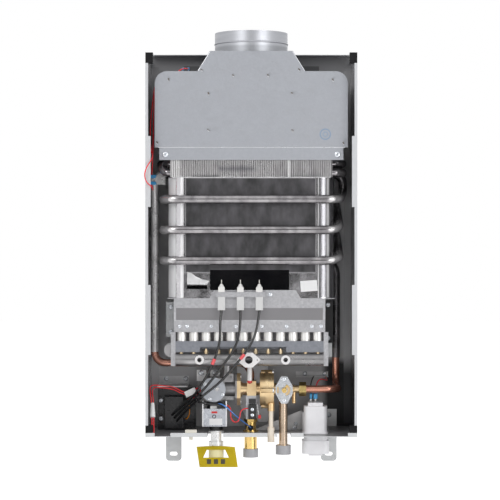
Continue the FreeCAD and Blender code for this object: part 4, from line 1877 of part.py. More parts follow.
def screws():
    """Every exposed screw, as (place under its head, facing, length, size)."""
    front = (0, -1, 0)
    plate_face = f"{PLATE_FRONT}"
    stay = "-sheet - bracket_sheet"
    strip_z = "(plate_strip_low + plate_strip_high)/2"
    foot_x = f"{electrode_places()[2]} + electrode_width/2 + 4 + clamp_foot*0.6"
    cover = "-gas_front - cover_thick"
    switch_x, switch_y = "(switch_left + switch_right)/2", f"{SWITCH_BACK} - switch_depth"
    table = [(f"{side}*hood_screw_x", "-hood_front", "hood_screw_z", front, 5, 1.0) for side in (-1, 1)]
    table += [(x, "-frame_front - sheet", strip_z, front, 0.95, 0.62)
              for x in (-116, -104, -64.7, -24.8, 17, 57, 98, 113)]
    table += [
        (foot_x, f"{SHIELD_FRONT} - sheet", "(boot_high + clamp_high)/2", front, 1.9, 0.7),
        ("-ear_left_x + 8", "-ear_left_y", "ear_left_low + 8*sheet", front, 3, 0.8),
        ("-ear_left_x + 8", "-ear_left_y", "ear_left_high - 8*sheet", front, 3, 0.8),
        ("(ear_right_x + burner_x + burner_half)/2", "-ear_right_y", "ear_right_low + 8*sheet", front, 3,
         0.8),
        ("(ear_right_x + burner_x + burner_half)/2", "-ear_right_y", "ear_right_high - 8*sheet", front,
         3, 0.8),
        ("stay_left_x + 12", stay, "stay_left_high - 4.5", front, 2.4, 0.9),
        ("stay_left_end - 5", stay, "stay_left_high - 4.5", front, 2.4, 0.9),
        ("stay_right_x + 15.6", stay, "stay_right_high - 3.6", front, 2.4, 0.8),
        ("stay_right_end - 6", stay, "stay_right_high - 3.6", front, 2.4, 0.8),
        ("-wall_bracket_x", stay, "wall_bracket_rise - 10", front, 2.4, 0.9),
        ("wall_bracket_x", stay, "wall_bracket_rise - 10", front, 2.4, 0.9),
        ("gas_tab_left + gas_tab_width/2", "-gas_tab_y - bracket_sheet", "gas_tab_low + 12", front, 6, 1.0),
        ("gas_tab_left + gas_tab_pitch + gas_tab_width/2", "-gas_tab_y - bracket_sheet", "gas_tab_low + 12",
         front, 6, 1.0),
        ("cover_x - 14", cover, "cover_z + 9", front, 7, 0.7),
        ("cover_x + 15", cover, "cover_z - 8", front, 7, 0.7),
        ("cover_x - 6", cover, "cover_z - 15", front, 7, 0.7),
        ("selector_x", plate_face, "valve_z + 17.6", front, 8, 0.75),
        ("selector_x", plate_face, "valve_z - 17.6", front, 8, 0.75),
        (switch_x, switch_y, "switch_low + 0.28*(switch_high - switch_low)", front, 4, 0.6),
        (switch_x, switch_y, "switch_low + 0.67*(switch_high - switch_low)", front, 4, 0.6),
        ("cell_x - 31", "-gusset_y - bracket_sheet", "11", front, 4, 0.7),
        ("cell_x - 33", "-gusset_y - bracket_sheet", "5", front, 4, 0.7),
        ("control_left + 5.3", "-control_face", "lid_low + 14", front, 3, 0.8),
        ("control_left + 5.3", "-control_face", "lid_high - 7.6", front, 3, 0.8),
    ]
    for turn in ((0, 1), (0, -1), (1, 0), (-1, 0)):
        table.append(("housing_right - 2", f"-valve_y + {turn[0]}*lug_rise", f"valve_z + {turn[1]}*lug_rise",
                      (1, 0, 0), 8, 0.9))
    for rise in (-1, 1):
        table.append(("joint_x + flange_thick", "-valve_y", f"valve_z + {rise}*(flange_rise - 5)",
                      (1, 0, 0), 7, 0.8))
    return feature(Part.Compound([
        screw(point(x, y, z), facing, length, size) for x, y, z, facing, length, size in table]))


node("screws", screws())


# Cord routes: points in millimetres along each cord, from end to end.
LEADS = (
    ((-48.1, -167, 203), (-50.6, -171.5, 184), (-49.6, -173, 158.3), (-55.1, -173, 134), (-67.6, -168, 104.2),
     (-88.8, -150.5, 67.2), (-111.8, -120, 46.2), (-131, -88, 27.4)),
    ((-17.6, -167, 203), (-17.2, -172, 176), (-24.5, -174, 143.9), (-45.2, -173, 114.5), (-66.5, -161, 86.5),
     (-86.6, -150.5, 63), (-109.4, -120, 41.6), (-127, -88, 22.4)),
    ((12.9, -167, 203), (10.1, -172, 171.2), (-5.2, -175, 139.1), (-27.1, -174, 113), (-46.4, -166, 90.2),
     (-65.5, -159.5, 74), (-84.4, -150.5, 58.8), (-107, -120, 36.9), (-123, -88, 17.4)),
)
WIRES = {
    "overheat_long": ((-113.6, -100, 598.4), (-117.2, -100.3, 597.4), (-121.5, -101.5, 592.5),
                      (-130, -104.5, 587), (-143, -109.5, 584), (-153.5, -114.5, 578), (-159, -118, 565),
                      (-160.5, -119.5, 548), (-164.5, -128, 513), (-164.5, -142, 473),
                      (-160.5, -163, 456), (-158.6, -178, 450.5), (-160.5, -188.5, 443.5), (-168, -191, 432.5),
                      (-171.5, -190.5, 420), (-168, -190, 408), (-160.5, -188, 402.5), (-158.8, -178, 398.5),
                      (-159, -160, 396.5), (-160, -142, 398.5), (-161.5, -129, 402.5), (-163.2, -121.5, 407.6)),
    "overheat_short": ((-103.5, -102.8, 598.4), (-105, -107, 598.6), (-113, -108.5, 598), (-119, -109, 593.5),
                       (-128, -110.5, 588.5), (-142, -115, 585), (-151.5, -119.5, 578.5), (-157, -123.5, 564),
                       (-158.8, -125, 545), (-160, -126, 500), (-161, -125, 446), (-163, -120.5, 423.1)),
    "valve_cable": ((-103, -79, 47), (-104, -100, 55), (-98, -127, 56.5), (-82, -143.5, 51.5),
                    (-61, -147, 49),
                    (-46, -139, 45)),
    "outlet_sensor": ((-53, -139, 50), (-50, -145.5, 50.5), (-41, -147, 45.5), (-30, -144, 35),
                      (-20, -138, 25.5),
                      (-11, -129, 18), (-4.5, -120, 12.5), (-1, -111.4, 8.4)),
    "switch_loop": ((-39.8, -130, 47), (-33.5, -135.5, 43.5), (-33.5, -140.5, 35.5), (-33.5, -142.5, 27),
                    (-28.5, -143.5, 20), (-21.5, -143, 20.5), (-18.5, -142, 28), (-18, -140, 36.5),
                    (-12, -138, 42), (-5, -137, 42)),
    "battery_plus": ((105.6, -106, 64.2), (106.2, -104.5, 78), (113, -97, 88), (124.5, -84, 84.5),
                     (127.5, -60, 82.5),
                     (126, -17, 85.7)),
    "battery_minus": ((98, -106, 64.2), (97.2, -104.8, 79), (101.5, -97, 90), (105.5, -70, 91),
                      (104, -17, 85.7)),
    "case_first": ((-160.2, -167, 1.4), (-160.6, -164.5, 30), (-161.6, -157, 57), (-165.5, -141, 72),
                   (-164, -124, 79.5), (-148, -110, 77.5), (-128, -104, 75), (-116, -104, 68),
                   (-106, -104.5, 64.5), (-94, -104, 70), (-85, -100, 74), (-83, -92, 67), (-89, -84, 58),
                   (-101.5, -76.5, 51.7)),
    "case_second": ((-157, -167, 1.4), (-157.6, -163.5, 31), (-158.4, -154.5, 55.5), (-161.5, -139, 69),
                    (-160, -121.5, 75.3), (-147, -107, 73.5), (-128.5, -101.5, 71), (-117, -101, 64.5),
                    (-106, -101.5, 61.2), (-93.5, -101, 66.5), (-87.5, -97, 68), (-88, -89, 61.5),
                    (-94, -82.5, 55), (-105.5, -76.5, 51.7)),
    "control_loop": ((-103, -79, 42), (-102.6, -86.5, 41.5), (-101.8, -92.5, 37), (-101.8, -95, 30),
                     (-104.2, -93.5, 23.5), (-108, -88.5, 20), (-109.6, -81, 20)),
}
FREE = 1000.0


def beside(x):
    """A place across the case; what lies by the left side keeps its distance from that side."""
    if x > -value("route_side"):
        return x
    return x + value("route_half - case_width/2")


def cord_points(rows):
    """Vectors of a route."""
    return [Vector(beside(x), y, z) for x, y, z in rows]


def cord_report(name, rows, diameter, solid):
    """Prints a cord's tightest bend and compares its volume with section times length."""
    path = route(cord_points(rows), FREE)
    bends = [edge.Curve.Radius for edge in path.Edges if isinstance(edge.Curve, Part.Circle)]
    expected = math.pi * diameter ** 2 / 4 * path.Length
    print(f"cord {name}: length {path.Length:.0f}, tightest bend {min(bends):.1f}, "
          f"volume over section times length {solid.Volume / expected:.3f}")


def make_cords(rows_by_name, diameter):
    """Round cords along their routes, and the solids by name."""
    solids = {}
    for name, rows in rows_by_name.items():
        thick = diameter * (1.6 if name == "valve_cable" else 1.0)
        solids[name] = swept(cord_points(rows), thick / 2, FREE)
        cord_report(name, rows, thick, solids[name])
    return solids


lead_solids = make_cords({f"lead_{index}": rows for index, rows in enumerate(LEADS, 1)},
                         value("lead_diameter"))
wire_solids = make_cords(WIRES, value("wire_diameter"))
node("ignition_leads", feature(Part.Compound(list(lead_solids.values()))))
node("wires", feature(Part.Compound(list(wire_solids.values()))))


def marker(rows, place, half, solid):
    """A sleeve on a cord, between the points half a length before and behind a place."""
    skin = swept(cord_points(rows), value("marker_radius"), FREE)
    ball = Part.makeSphere(half, Vector(*place))
    return skin.common(ball).cut(solid)


def boxed(size, place, turns):
    """A block about its centre, turned about Y and then Z."""
    body = Part.makeBox(*size, Vector(*[-edge / 2 for edge in size]))
    body.Placement = Placement(Vector(*place), Rotation(turns[1], turns[0], 0))
    return body


def sleeves():
    """Marker sleeves on the leads, the tie, the blue spade sleeves and the white connectors."""
    markers = [
        marker(LEADS[0], (-60.4, -171, 121), 5, lead_solids["lead_1"]),
        marker(LEADS[2], (-13.6, -174.8, 128.5), 5, lead_solids["lead_3"]),
    ]
    heading = Vector(*LEADS[1][6]) - Vector(*LEADS[1][4])
    heading.normalize()
    middle = Vector(*LEADS[1][5]) + Vector(0, 0.9, 0)
    tie = Part.makeCylinder(7.4, 3, middle - heading * 1.5, heading)
    tie = tie.cut(Part.makeCylinder(6.5, 5, middle - heading * 2.5, heading))
    tie = tie.cut(Part.Compound(list(lead_solids.values())))
    spades = [
        Part.makeBox(3.8, 5, 9, Vector(96.1, -108.5, 55.2)),
        Part.makeBox(6.6, 5, 9, Vector(102.3, -108.5, 55.2)),
        Part.makeBox(8.5, 4, 4.6, Vector(beside(-167.6), -122.4, 417.4)),
        Part.makeBox(8.5, 4, 4.6, Vector(beside(-167.6), -122.4, 408)),
        Part.makeBox(3.4, 6.6, 4.8, Vector(-114.2, -103.3, 595.8)),
        Part.makeBox(3.4, 6.6, 4.8, Vector(-105.2, -103.3, 595.8)),
    ]
    plugs = [
        boxed((19, 7, 10), (-100, -102.8, 65.6), (-25, 0)),
        Part.makeCone(4.6, 2.9, 24, Vector(beside(-159.2), -166, 30), Vector(-0.02, 0.36, 1)),
    ]
    cords = list(wire_solids.values())
    solids = markers + [tie] + spades + [plug.cut(Part.Compound(cords)) for plug in plugs]
    return feature(Part.Compound(solids))


node("wire_sleeves", sleeves())


def export():
    """Checks every feature and piece, and writes each piece to parts/NAME.step."""
    doc.recompute()
    for thing in doc.Objects:
        faults = [state for state in thing.State if state in ("Invalid", "Error")]
        if faults:
            raise RuntimeError(f"{thing.Name} ({thing.Label}) is {faults}")
    os.makedirs("parts", exist_ok=True)
    for thing in NODES:
        shape = thing.Shape
        if shape.isNull() or not shape.isValid() or shape.Volume <= 0:
            raise RuntimeError(f"{thing.Label} has no valid shape")
        shape.exportStep(f"parts/{thing.Label}.step")
        box = shape.BoundBox
        spans = f"x {box.XMin:.1f}..{box.XMax:.1f} y {box.YMin:.1f}..{box.YMax:.1f} z {box.ZMin:.1f}..{box.ZMax:.1f}"
        print(f"{thing.Label}: {shape.Volume / 1000:.2f} cm3, {spans}")


export()
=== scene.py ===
"""A wall-hung gas water heater with its front cover off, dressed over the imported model.

Every size is in metres in the frame of the model: +Z up, +X to the right, the wall at Y = 0 and the
front towards -Y. Lengths that read better in millimetres go through mm().
"""

import logging
import math
from dataclasses import dataclass
from enum import Enum
from typing import ClassVar

import bmesh
import bpy
from mathutils import Matrix, Vector, noise


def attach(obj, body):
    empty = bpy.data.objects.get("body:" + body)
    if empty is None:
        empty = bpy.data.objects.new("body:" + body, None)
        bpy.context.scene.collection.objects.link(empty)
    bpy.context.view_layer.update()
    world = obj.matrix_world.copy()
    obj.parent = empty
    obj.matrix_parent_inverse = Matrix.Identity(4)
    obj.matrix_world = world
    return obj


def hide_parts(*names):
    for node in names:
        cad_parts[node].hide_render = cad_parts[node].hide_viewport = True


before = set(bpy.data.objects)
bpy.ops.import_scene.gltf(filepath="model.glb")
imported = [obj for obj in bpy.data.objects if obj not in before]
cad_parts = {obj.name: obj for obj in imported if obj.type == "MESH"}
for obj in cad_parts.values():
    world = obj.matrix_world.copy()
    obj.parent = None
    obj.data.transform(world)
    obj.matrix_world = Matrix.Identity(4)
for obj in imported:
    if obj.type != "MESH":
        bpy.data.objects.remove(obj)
LOG = logging.getLogger("heater")
HEATER = "heater"
Colour = tuple[float, float, float]
Place = tuple[float, float, float]
Span = tuple[float, float]


def mm(*values: float) -> tuple[float, ...]:
    """Lengths or a place in millimetres, as metres."""
    return tuple(value * 0.001 for value in values)


class Grain(Enum):
    """How a surface varies close up."""

    CLOUDS = "clouds"
    SPANGLE = "spangle"


class Shape(Enum):
    """The outline of a patch of another colour on a piece."""

    BOX = "box"
    RING = "ring"


@dataclass(frozen=True)
class Patch:
    """A region of a piece, in its own coordinates, with another colour and gloss.

    Its edges fade over soft metres upwards, and over across metres sideways if that is given.
    """

    low: Place
    high: Place
    colour: Colour
    metallic: float = 0.0
    roughness: float = 0.3
    shape: Shape = Shape.BOX
    strength: float = 1.0
    soft: float = 0.0003
    across: float | None = None
    second: Colour | None = None


class Tree:
    """Short calls for building a shader or geometry node tree."""

    def __init__(self, tree: bpy.types.NodeTree) -> None:
        """Wraps a tree.

        Args:
            tree: The node tree to add to.
        """
        self.tree = tree

    def add(self, kind: str, inputs: dict | None = None, **settings: object) -> bpy.types.Node:
        """Adds a node.

        Args:
            kind: The node's type name.
            inputs: Values or output sockets by input name or index.
            settings: Attributes of the node itself.

        Returns:
            The new node.
        """
        made = self.tree.nodes.new(kind)
        for name, setting in settings.items():
            setattr(made, name, setting)
        self.feed(made, inputs or {})
        return made

    def feed(self, node: bpy.types.Node, inputs: dict) -> None:
        """Puts values or output sockets into a node's inputs, by name or index."""
        for key, value in inputs.items():
            if isinstance(value, bpy.types.NodeSocket):
                self.tree.links.new(value, node.inputs[key])
            else:
                node.inputs[key].default_value = value

    def effect(self, name: str, inputs: dict) -> bpy.types.Node:
        """Adds the shader group of that name with its inputs."""
        return self.add("ShaderNodeGroup", inputs, node_tree=Effects.group(name))

    def math(self, operation: str, *values: object) -> bpy.types.NodeSocket:
        """Adds a Math node on the values and returns its output."""
        return self.add("ShaderNodeMath", dict(enumerate(values)), operation=operation).outputs[0]

    def vector(self, operation: str, *values: object) -> bpy.types.NodeSocket:
        """Adds a Vector Math node on the values and returns its vector output."""
        return self.add("ShaderNodeVectorMath", dict(enumerate(values)), operation=operation).outputs[0]

    def blend(self, factor: object, first: object, second: object) -> bpy.types.NodeSocket:
        """Mixes two colours.

        Args:
            factor: How much of the second colour.
            first: A colour or a socket.
            second: A colour or a socket.

        Returns:
            The mixed colour's socket.
        """
        mixed = self.add("ShaderNodeMix", data_type="RGBA")
        for key, value in (("Factor_Float", factor), ("A_Color", first), ("B_Color", second)):
            socket = next(item for item in mixed.inputs if item.identifier == key)
            if isinstance(value, bpy.types.NodeSocket):
                self.tree.links.new(value, socket)
            else:
                socket.default_value = (*value, 1.0) if isinstance(value, tuple) else value
        return next(item for item in mixed.outputs if item.identifier == "Result_Color")

    def between(self, value: object, low: float, high: float, first: object,
                last: object) -> bpy.types.NodeSocket:
        """Maps a value from low..high to first..last, held inside that range."""
        sockets = {"Value": value, "From Min": low, "From Max": high, "To Min": first, "To Max": last}
        return self.add("ShaderNodeMapRange", sockets).outputs[0]


class Effects:
    """Shader node groups that the finishes share, each built once."""

    CLOUD_EDGES: ClassVar[Span] = (0.34, 0.66)
    GRIME_SCALE: ClassVar[float] = 38.0
    GRIME_EDGES: ClassVar[Span] = (0.45, 0.75)
    GRIME_LEVEL: ClassVar[float] = 0.4
    HARD: ClassVar[float] = 1.0e6
    made: ClassVar[dict[str, bpy.types.NodeTree]] = {}

    @classmethod
    def group(cls, name: str) -> bpy.types.NodeTree:
        """The named group, built at its first use."""
        if name not in cls.made:
            tree = bpy.data.node_groups.new(name, "ShaderNodeTree")
            cls.made[name] = tree
            getattr(cls, name)(tree)
        return cls.made[name]

    @staticmethod
    def opened(tree: bpy.types.NodeTree, vectors: tuple[str, ...], values: tuple[str, ...],
               results: tuple[str, ...]) -> tuple:
        """Gives a group its sockets.

        Args:
            tree: The group's tree.
            vectors: Names of the inputs that are vectors.
            values: Names of the inputs that are numbers.
            results: Names of the outputs, which are numbers.

        Returns:
            Short calls for the tree, the inputs by name and the outputs by name.
        """
        for way, kind, names in (("INPUT", "Vector", vectors), ("INPUT", "Float", values),
                                 ("OUTPUT", "Float", results)):
            for name in names:
                tree.interface.new_socket(name=name, in_out=way, socket_type=f"NodeSocket{kind}")
        given, result = tree.nodes.new("NodeGroupInput"), tree.nodes.new("NodeGroupOutput")
        return Tree(tree), given.outputs, result.inputs

    @classmethod
    def streaks(cls, tree: bpy.types.NodeTree) -> None:
        """Soft clouds and fine grain that can be stretched along an axis.

        Args:
            tree: The group's tree.
        """
        kit, given, result = cls.opened(
            tree, ("Vector", "Stretch"), ("Scale", "Fine Scale"), ("Mask", "Height"))
        place = kit.vector("MULTIPLY", given["Vector"], given["Stretch"])
        cloud = kit.add("ShaderNodeTexNoise", {"Vector": place, "Scale": given["Scale"], "Detail": 4.0})
        fine = kit.add("ShaderNodeTexNoise", {"Vector": place, "Scale": given["Fine Scale"], "Detail": 3.0})
        tree.links.new(kit.between(cloud.outputs[0], *cls.CLOUD_EDGES, 0.0, 1.0), result["Mask"])
        tree.links.new(fine.outputs[0], result["Height"])

    @classmethod
    def crystals(cls, tree: bpy.types.NodeTree) -> None:
        """Cells with a random value each, as on zinc, with a little bend to their outlines.

        Args:
            tree: The group's tree.
        """
        kit, given, result = cls.opened(tree, ("Vector",), ("Scale", "Bend"), ("Mask",))
        warp = kit.add("ShaderNodeTexNoise", {"Vector": given["Vector"], "Scale": given["Scale"]})
        moved = kit.add("ShaderNodeVectorMath", {0: warp.outputs["Color"], "Scale": given["Bend"]},
                        operation="SCALE")
        place = kit.vector("ADD", given["Vector"], moved.outputs[0])
        cells = kit.add("ShaderNodeTexVoronoi", {"Vector": place, "Scale": given["Scale"]})
        parts = kit.add("ShaderNodeSeparateColor", {"Color": cells.outputs["Color"]})
        tree.links.new(parts.outputs[0], result["Mask"])

    @classmethod
    def box_mask(cls, tree: bpy.types.NodeTree) -> None:
        """One inside a box, nought outside it, with edges that are soft across and up.

        Args:
            tree: The group's tree.
        """
        kit, given, result = cls.opened(tree, ("Vector", "Low", "High"), ("Soft", "Across"), ("Mask",))
        sharp = kit.add("ShaderNodeCombineXYZ", {
            "X": kit.math("DIVIDE", 1.0, given["Across"]), "Y": cls.HARD,
            "Z": kit.math("DIVIDE", 1.0, given["Soft"])}).outputs[0]
        total = 1.0
        for first, second in (("Vector", "Low"), ("High", "Vector")):
            steep = kit.vector("MULTIPLY", kit.vector("SUBTRACT", given[first], given[second]), sharp)
            held = kit.vector("MINIMUM", kit.vector("MAXIMUM", steep, (0.0, 0.0, 0.0)), (1.0, 1.0, 1.0))
            for part in kit.add("ShaderNodeSeparateXYZ", {0: held}).outputs:
                total = kit.math("MULTIPLY", total, part)
        tree.links.new(total, result["Mask"])

    @classmethod
    def ring_mask(cls, tree: bpy.types.NodeTree) -> None:
        """One on a ring about a Y axis, nought off it: Low is its centre, High its radius and half width.

        Args:
            tree: The group's tree.
        """
        kit, given, result = cls.opened(tree, ("Vector", "Low", "High"), ("Soft",), ("Mask",))
        flat = kit.vector("MULTIPLY", kit.vector("SUBTRACT", given["Vector"], given["Low"]), (1.0, 0.0, 1.0))
        length = kit.add("ShaderNodeVectorMath", {0: flat}, operation="LENGTH").outputs["Value"]
        size = kit.add("ShaderNodeSeparateXYZ", {0: given["High"]})
        off = kit.math("ABSOLUTE", kit.math("SUBTRACT", length, size.outputs[0]))
        inside = kit.math("DIVIDE", kit.math("SUBTRACT", size.outputs[1], off), given["Soft"])
        tree.links.new(kit.math("MAXIMUM", kit.math("MINIMUM", inside, 1.0), 0.0), result["Mask"])

    @classmethod
    def soiling(cls, tree: bpy.types.NodeTree) -> None:
        """Faint grime in broad clouds, thicker on faces that look up.

        Args:
            tree: The group's tree.
        """
        kit, given, result = cls.opened(tree, ("Vector",), ("Amount",), ("Mask",))
        cloud = kit.add("ShaderNodeTexNoise", {
            "Vector": given["Vector"], "Scale": cls.GRIME_SCALE, "Detail": 5.0})
        facing = kit.add("ShaderNodeSeparateXYZ", {0: kit.add("ShaderNodeNewGeometry").outputs["Normal"]})
        upward = kit.between(facing.outputs[2], 0.2, 1.0, cls.GRIME_LEVEL, 1.0)
        patch = kit.between(cloud.outputs[0], *cls.GRIME_EDGES, 0.0, 1.0)
        grime = kit.math("MULTIPLY", kit.math("MULTIPLY", patch, upward), given["Amount"])
        tree.links.new(grime, result["Mask"])


@dataclass(frozen=True)
class Finish:
    """A surface: its two close colours, its gloss, its grain and any patches of another colour."""

    CELL_BEND: ClassVar[float] = 0.9
    CELL_SHARE: ClassVar[float] = 0.45
    COAT_ROUGHNESS: ClassVar[float] = 0.12
    GRIME: ClassVar[Colour] = (0.10, 0.095, 0.09)
    name: str
    colour: Colour
    second: Colour
    metallic: float = 0.0
    roughness: float = 0.3
    spread: float = 0.08
    grain: Grain = Grain.CLOUDS
    scale: float = 60.0
    fine: float = 900.0
    stretch: Place = (1.0, 1.0, 1.0)
    bump: float = 0.1
    depth: float = 0.0002
    coat: float = 0.0
    specular: float = 0.5
    grime: float = 0.15
    patches: tuple[Patch, ...] = ()

    def material(self) -> bpy.types.Material:
        """The finish as a node material, built at its first use.

        Returns:
            The material.
        """
        found = bpy.data.materials.get(f"{self.name}_finish")
        return found if found else self.build()

    def build(self) -> bpy.types.Material:
        """Builds the node material.

        Returns:
            The new material.
        """
        made = bpy.data.materials.new(f"{self.name}_finish")
        made.use_nodes = True
        kit = Tree(made.node_tree)
        shader = made.node_tree.nodes["Principled BSDF"]
        place = kit.add("ShaderNodeTexCoord").outputs["Object"]
        mask, height = self.texture(kit, place)
        colour = kit.blend(mask, self.colour, self.second)
        half = self.spread / 2
        rough = kit.between(mask, 0.0, 1.0, self.roughness - half, self.roughness + half)
        metal = self.metallic
        for patch in self.patches:
            inside = self.region(kit, place, patch)
            own = patch.colour if patch.second is None else kit.blend(mask, patch.colour, patch.second)
            colour = kit.blend(inside, colour, own)
            rough = kit.between(inside, 0.0, 1.0, rough, patch.roughness)
            metal = kit.between(inside, 0.0, 1.0, metal, patch.metallic)
        soil = kit.effect("soiling", {"Vector": place, "Amount": self.grime})
        colour = kit.blend(soil.outputs["Mask"], colour, self.GRIME)
        bumped = kit.add("ShaderNodeBump", {"Strength": self.bump, "Distance": self.depth, "Height": height})
        kit.feed(shader, {
            "Base Color": colour, "Roughness": rough, "Metallic": metal, "Coat Weight": self.coat,
            "Coat Roughness": self.COAT_ROUGHNESS, "Specular IOR Level": self.specular,
            "Normal": bumped.outputs["Normal"]})
        made.diffuse_color = (*self.colour, 1.0)
        return made

    def texture(self, kit: Tree, place: bpy.types.NodeSocket) -> tuple:
        """The grain's mask and height.

        Args:
            kit: The material's tree.
            place: Object coordinates.

        Returns:
            The mask socket and the height socket.
        """
        streaks = kit.effect("streaks", {
            "Vector": place, "Stretch": self.stretch, "Scale": self.scale, "Fine Scale": self.fine})
        mask = streaks.outputs["Mask"]
        if self.grain is Grain.SPANGLE:
            cells = kit.effect("crystals", {
                "Vector": place, "Scale": self.scale, "Bend": self.CELL_BEND / self.scale})
            mask = kit.math("ADD", kit.math("MULTIPLY", cells.outputs["Mask"], self.CELL_SHARE),
                            kit.math("MULTIPLY", mask, 1.0 - self.CELL_SHARE))
        return mask, streaks.outputs["Height"]

    @staticmethod
    def region(kit: Tree, place: bpy.types.NodeSocket, patch: Patch) -> bpy.types.NodeSocket:
        """The mask of a patch.

        Args:
            kit: The material's tree.
            place: Object coordinates.
            patch: The region and its strength.

        Returns:
            The mask's socket.
        """
        inside = kit.effect(f"{patch.shape.value}_mask", {
            "Vector": place, "Low": patch.low, "High": patch.high, "Soft": patch.soft})
        if patch.shape is Shape.BOX:
            inside.inputs["Across"].default_value = patch.across or patch.soft
        return kit.math("MULTIPLY", inside.outputs["Mask"], patch.strength)


def spot(x: Span, y: Span, z: Span, colour: Colour, **gloss: object) -> Patch:
    """A box patch.

    Args:
        x: Its span across, in millimetres.
        y: Its span in depth, in millimetres.
        z: Its span in height, in millimetres.
        colour: Its colour.
        **gloss: Its other fields.

    Returns:
        The patch.
    """
    return Patch(low=mm(x[0], y[0], z[0]), high=mm(x[1], y[1], z[1]), colour=colour, **gloss)


RED: Colour = (0.62, 0.02, 0.02)
BLACK: Colour = (0.012, 0.012, 0.013)
PAINTED_HIGHLIGHT: Colour = (0.95, 0.95, 0.96)
CASE_INSIDE: Span = (-184.2, 1)
FIN_DEPTH: Span = (-250, -100)
SHELL_CORNER: tuple[Span, Span] = ((-165, -128), (222, 418))


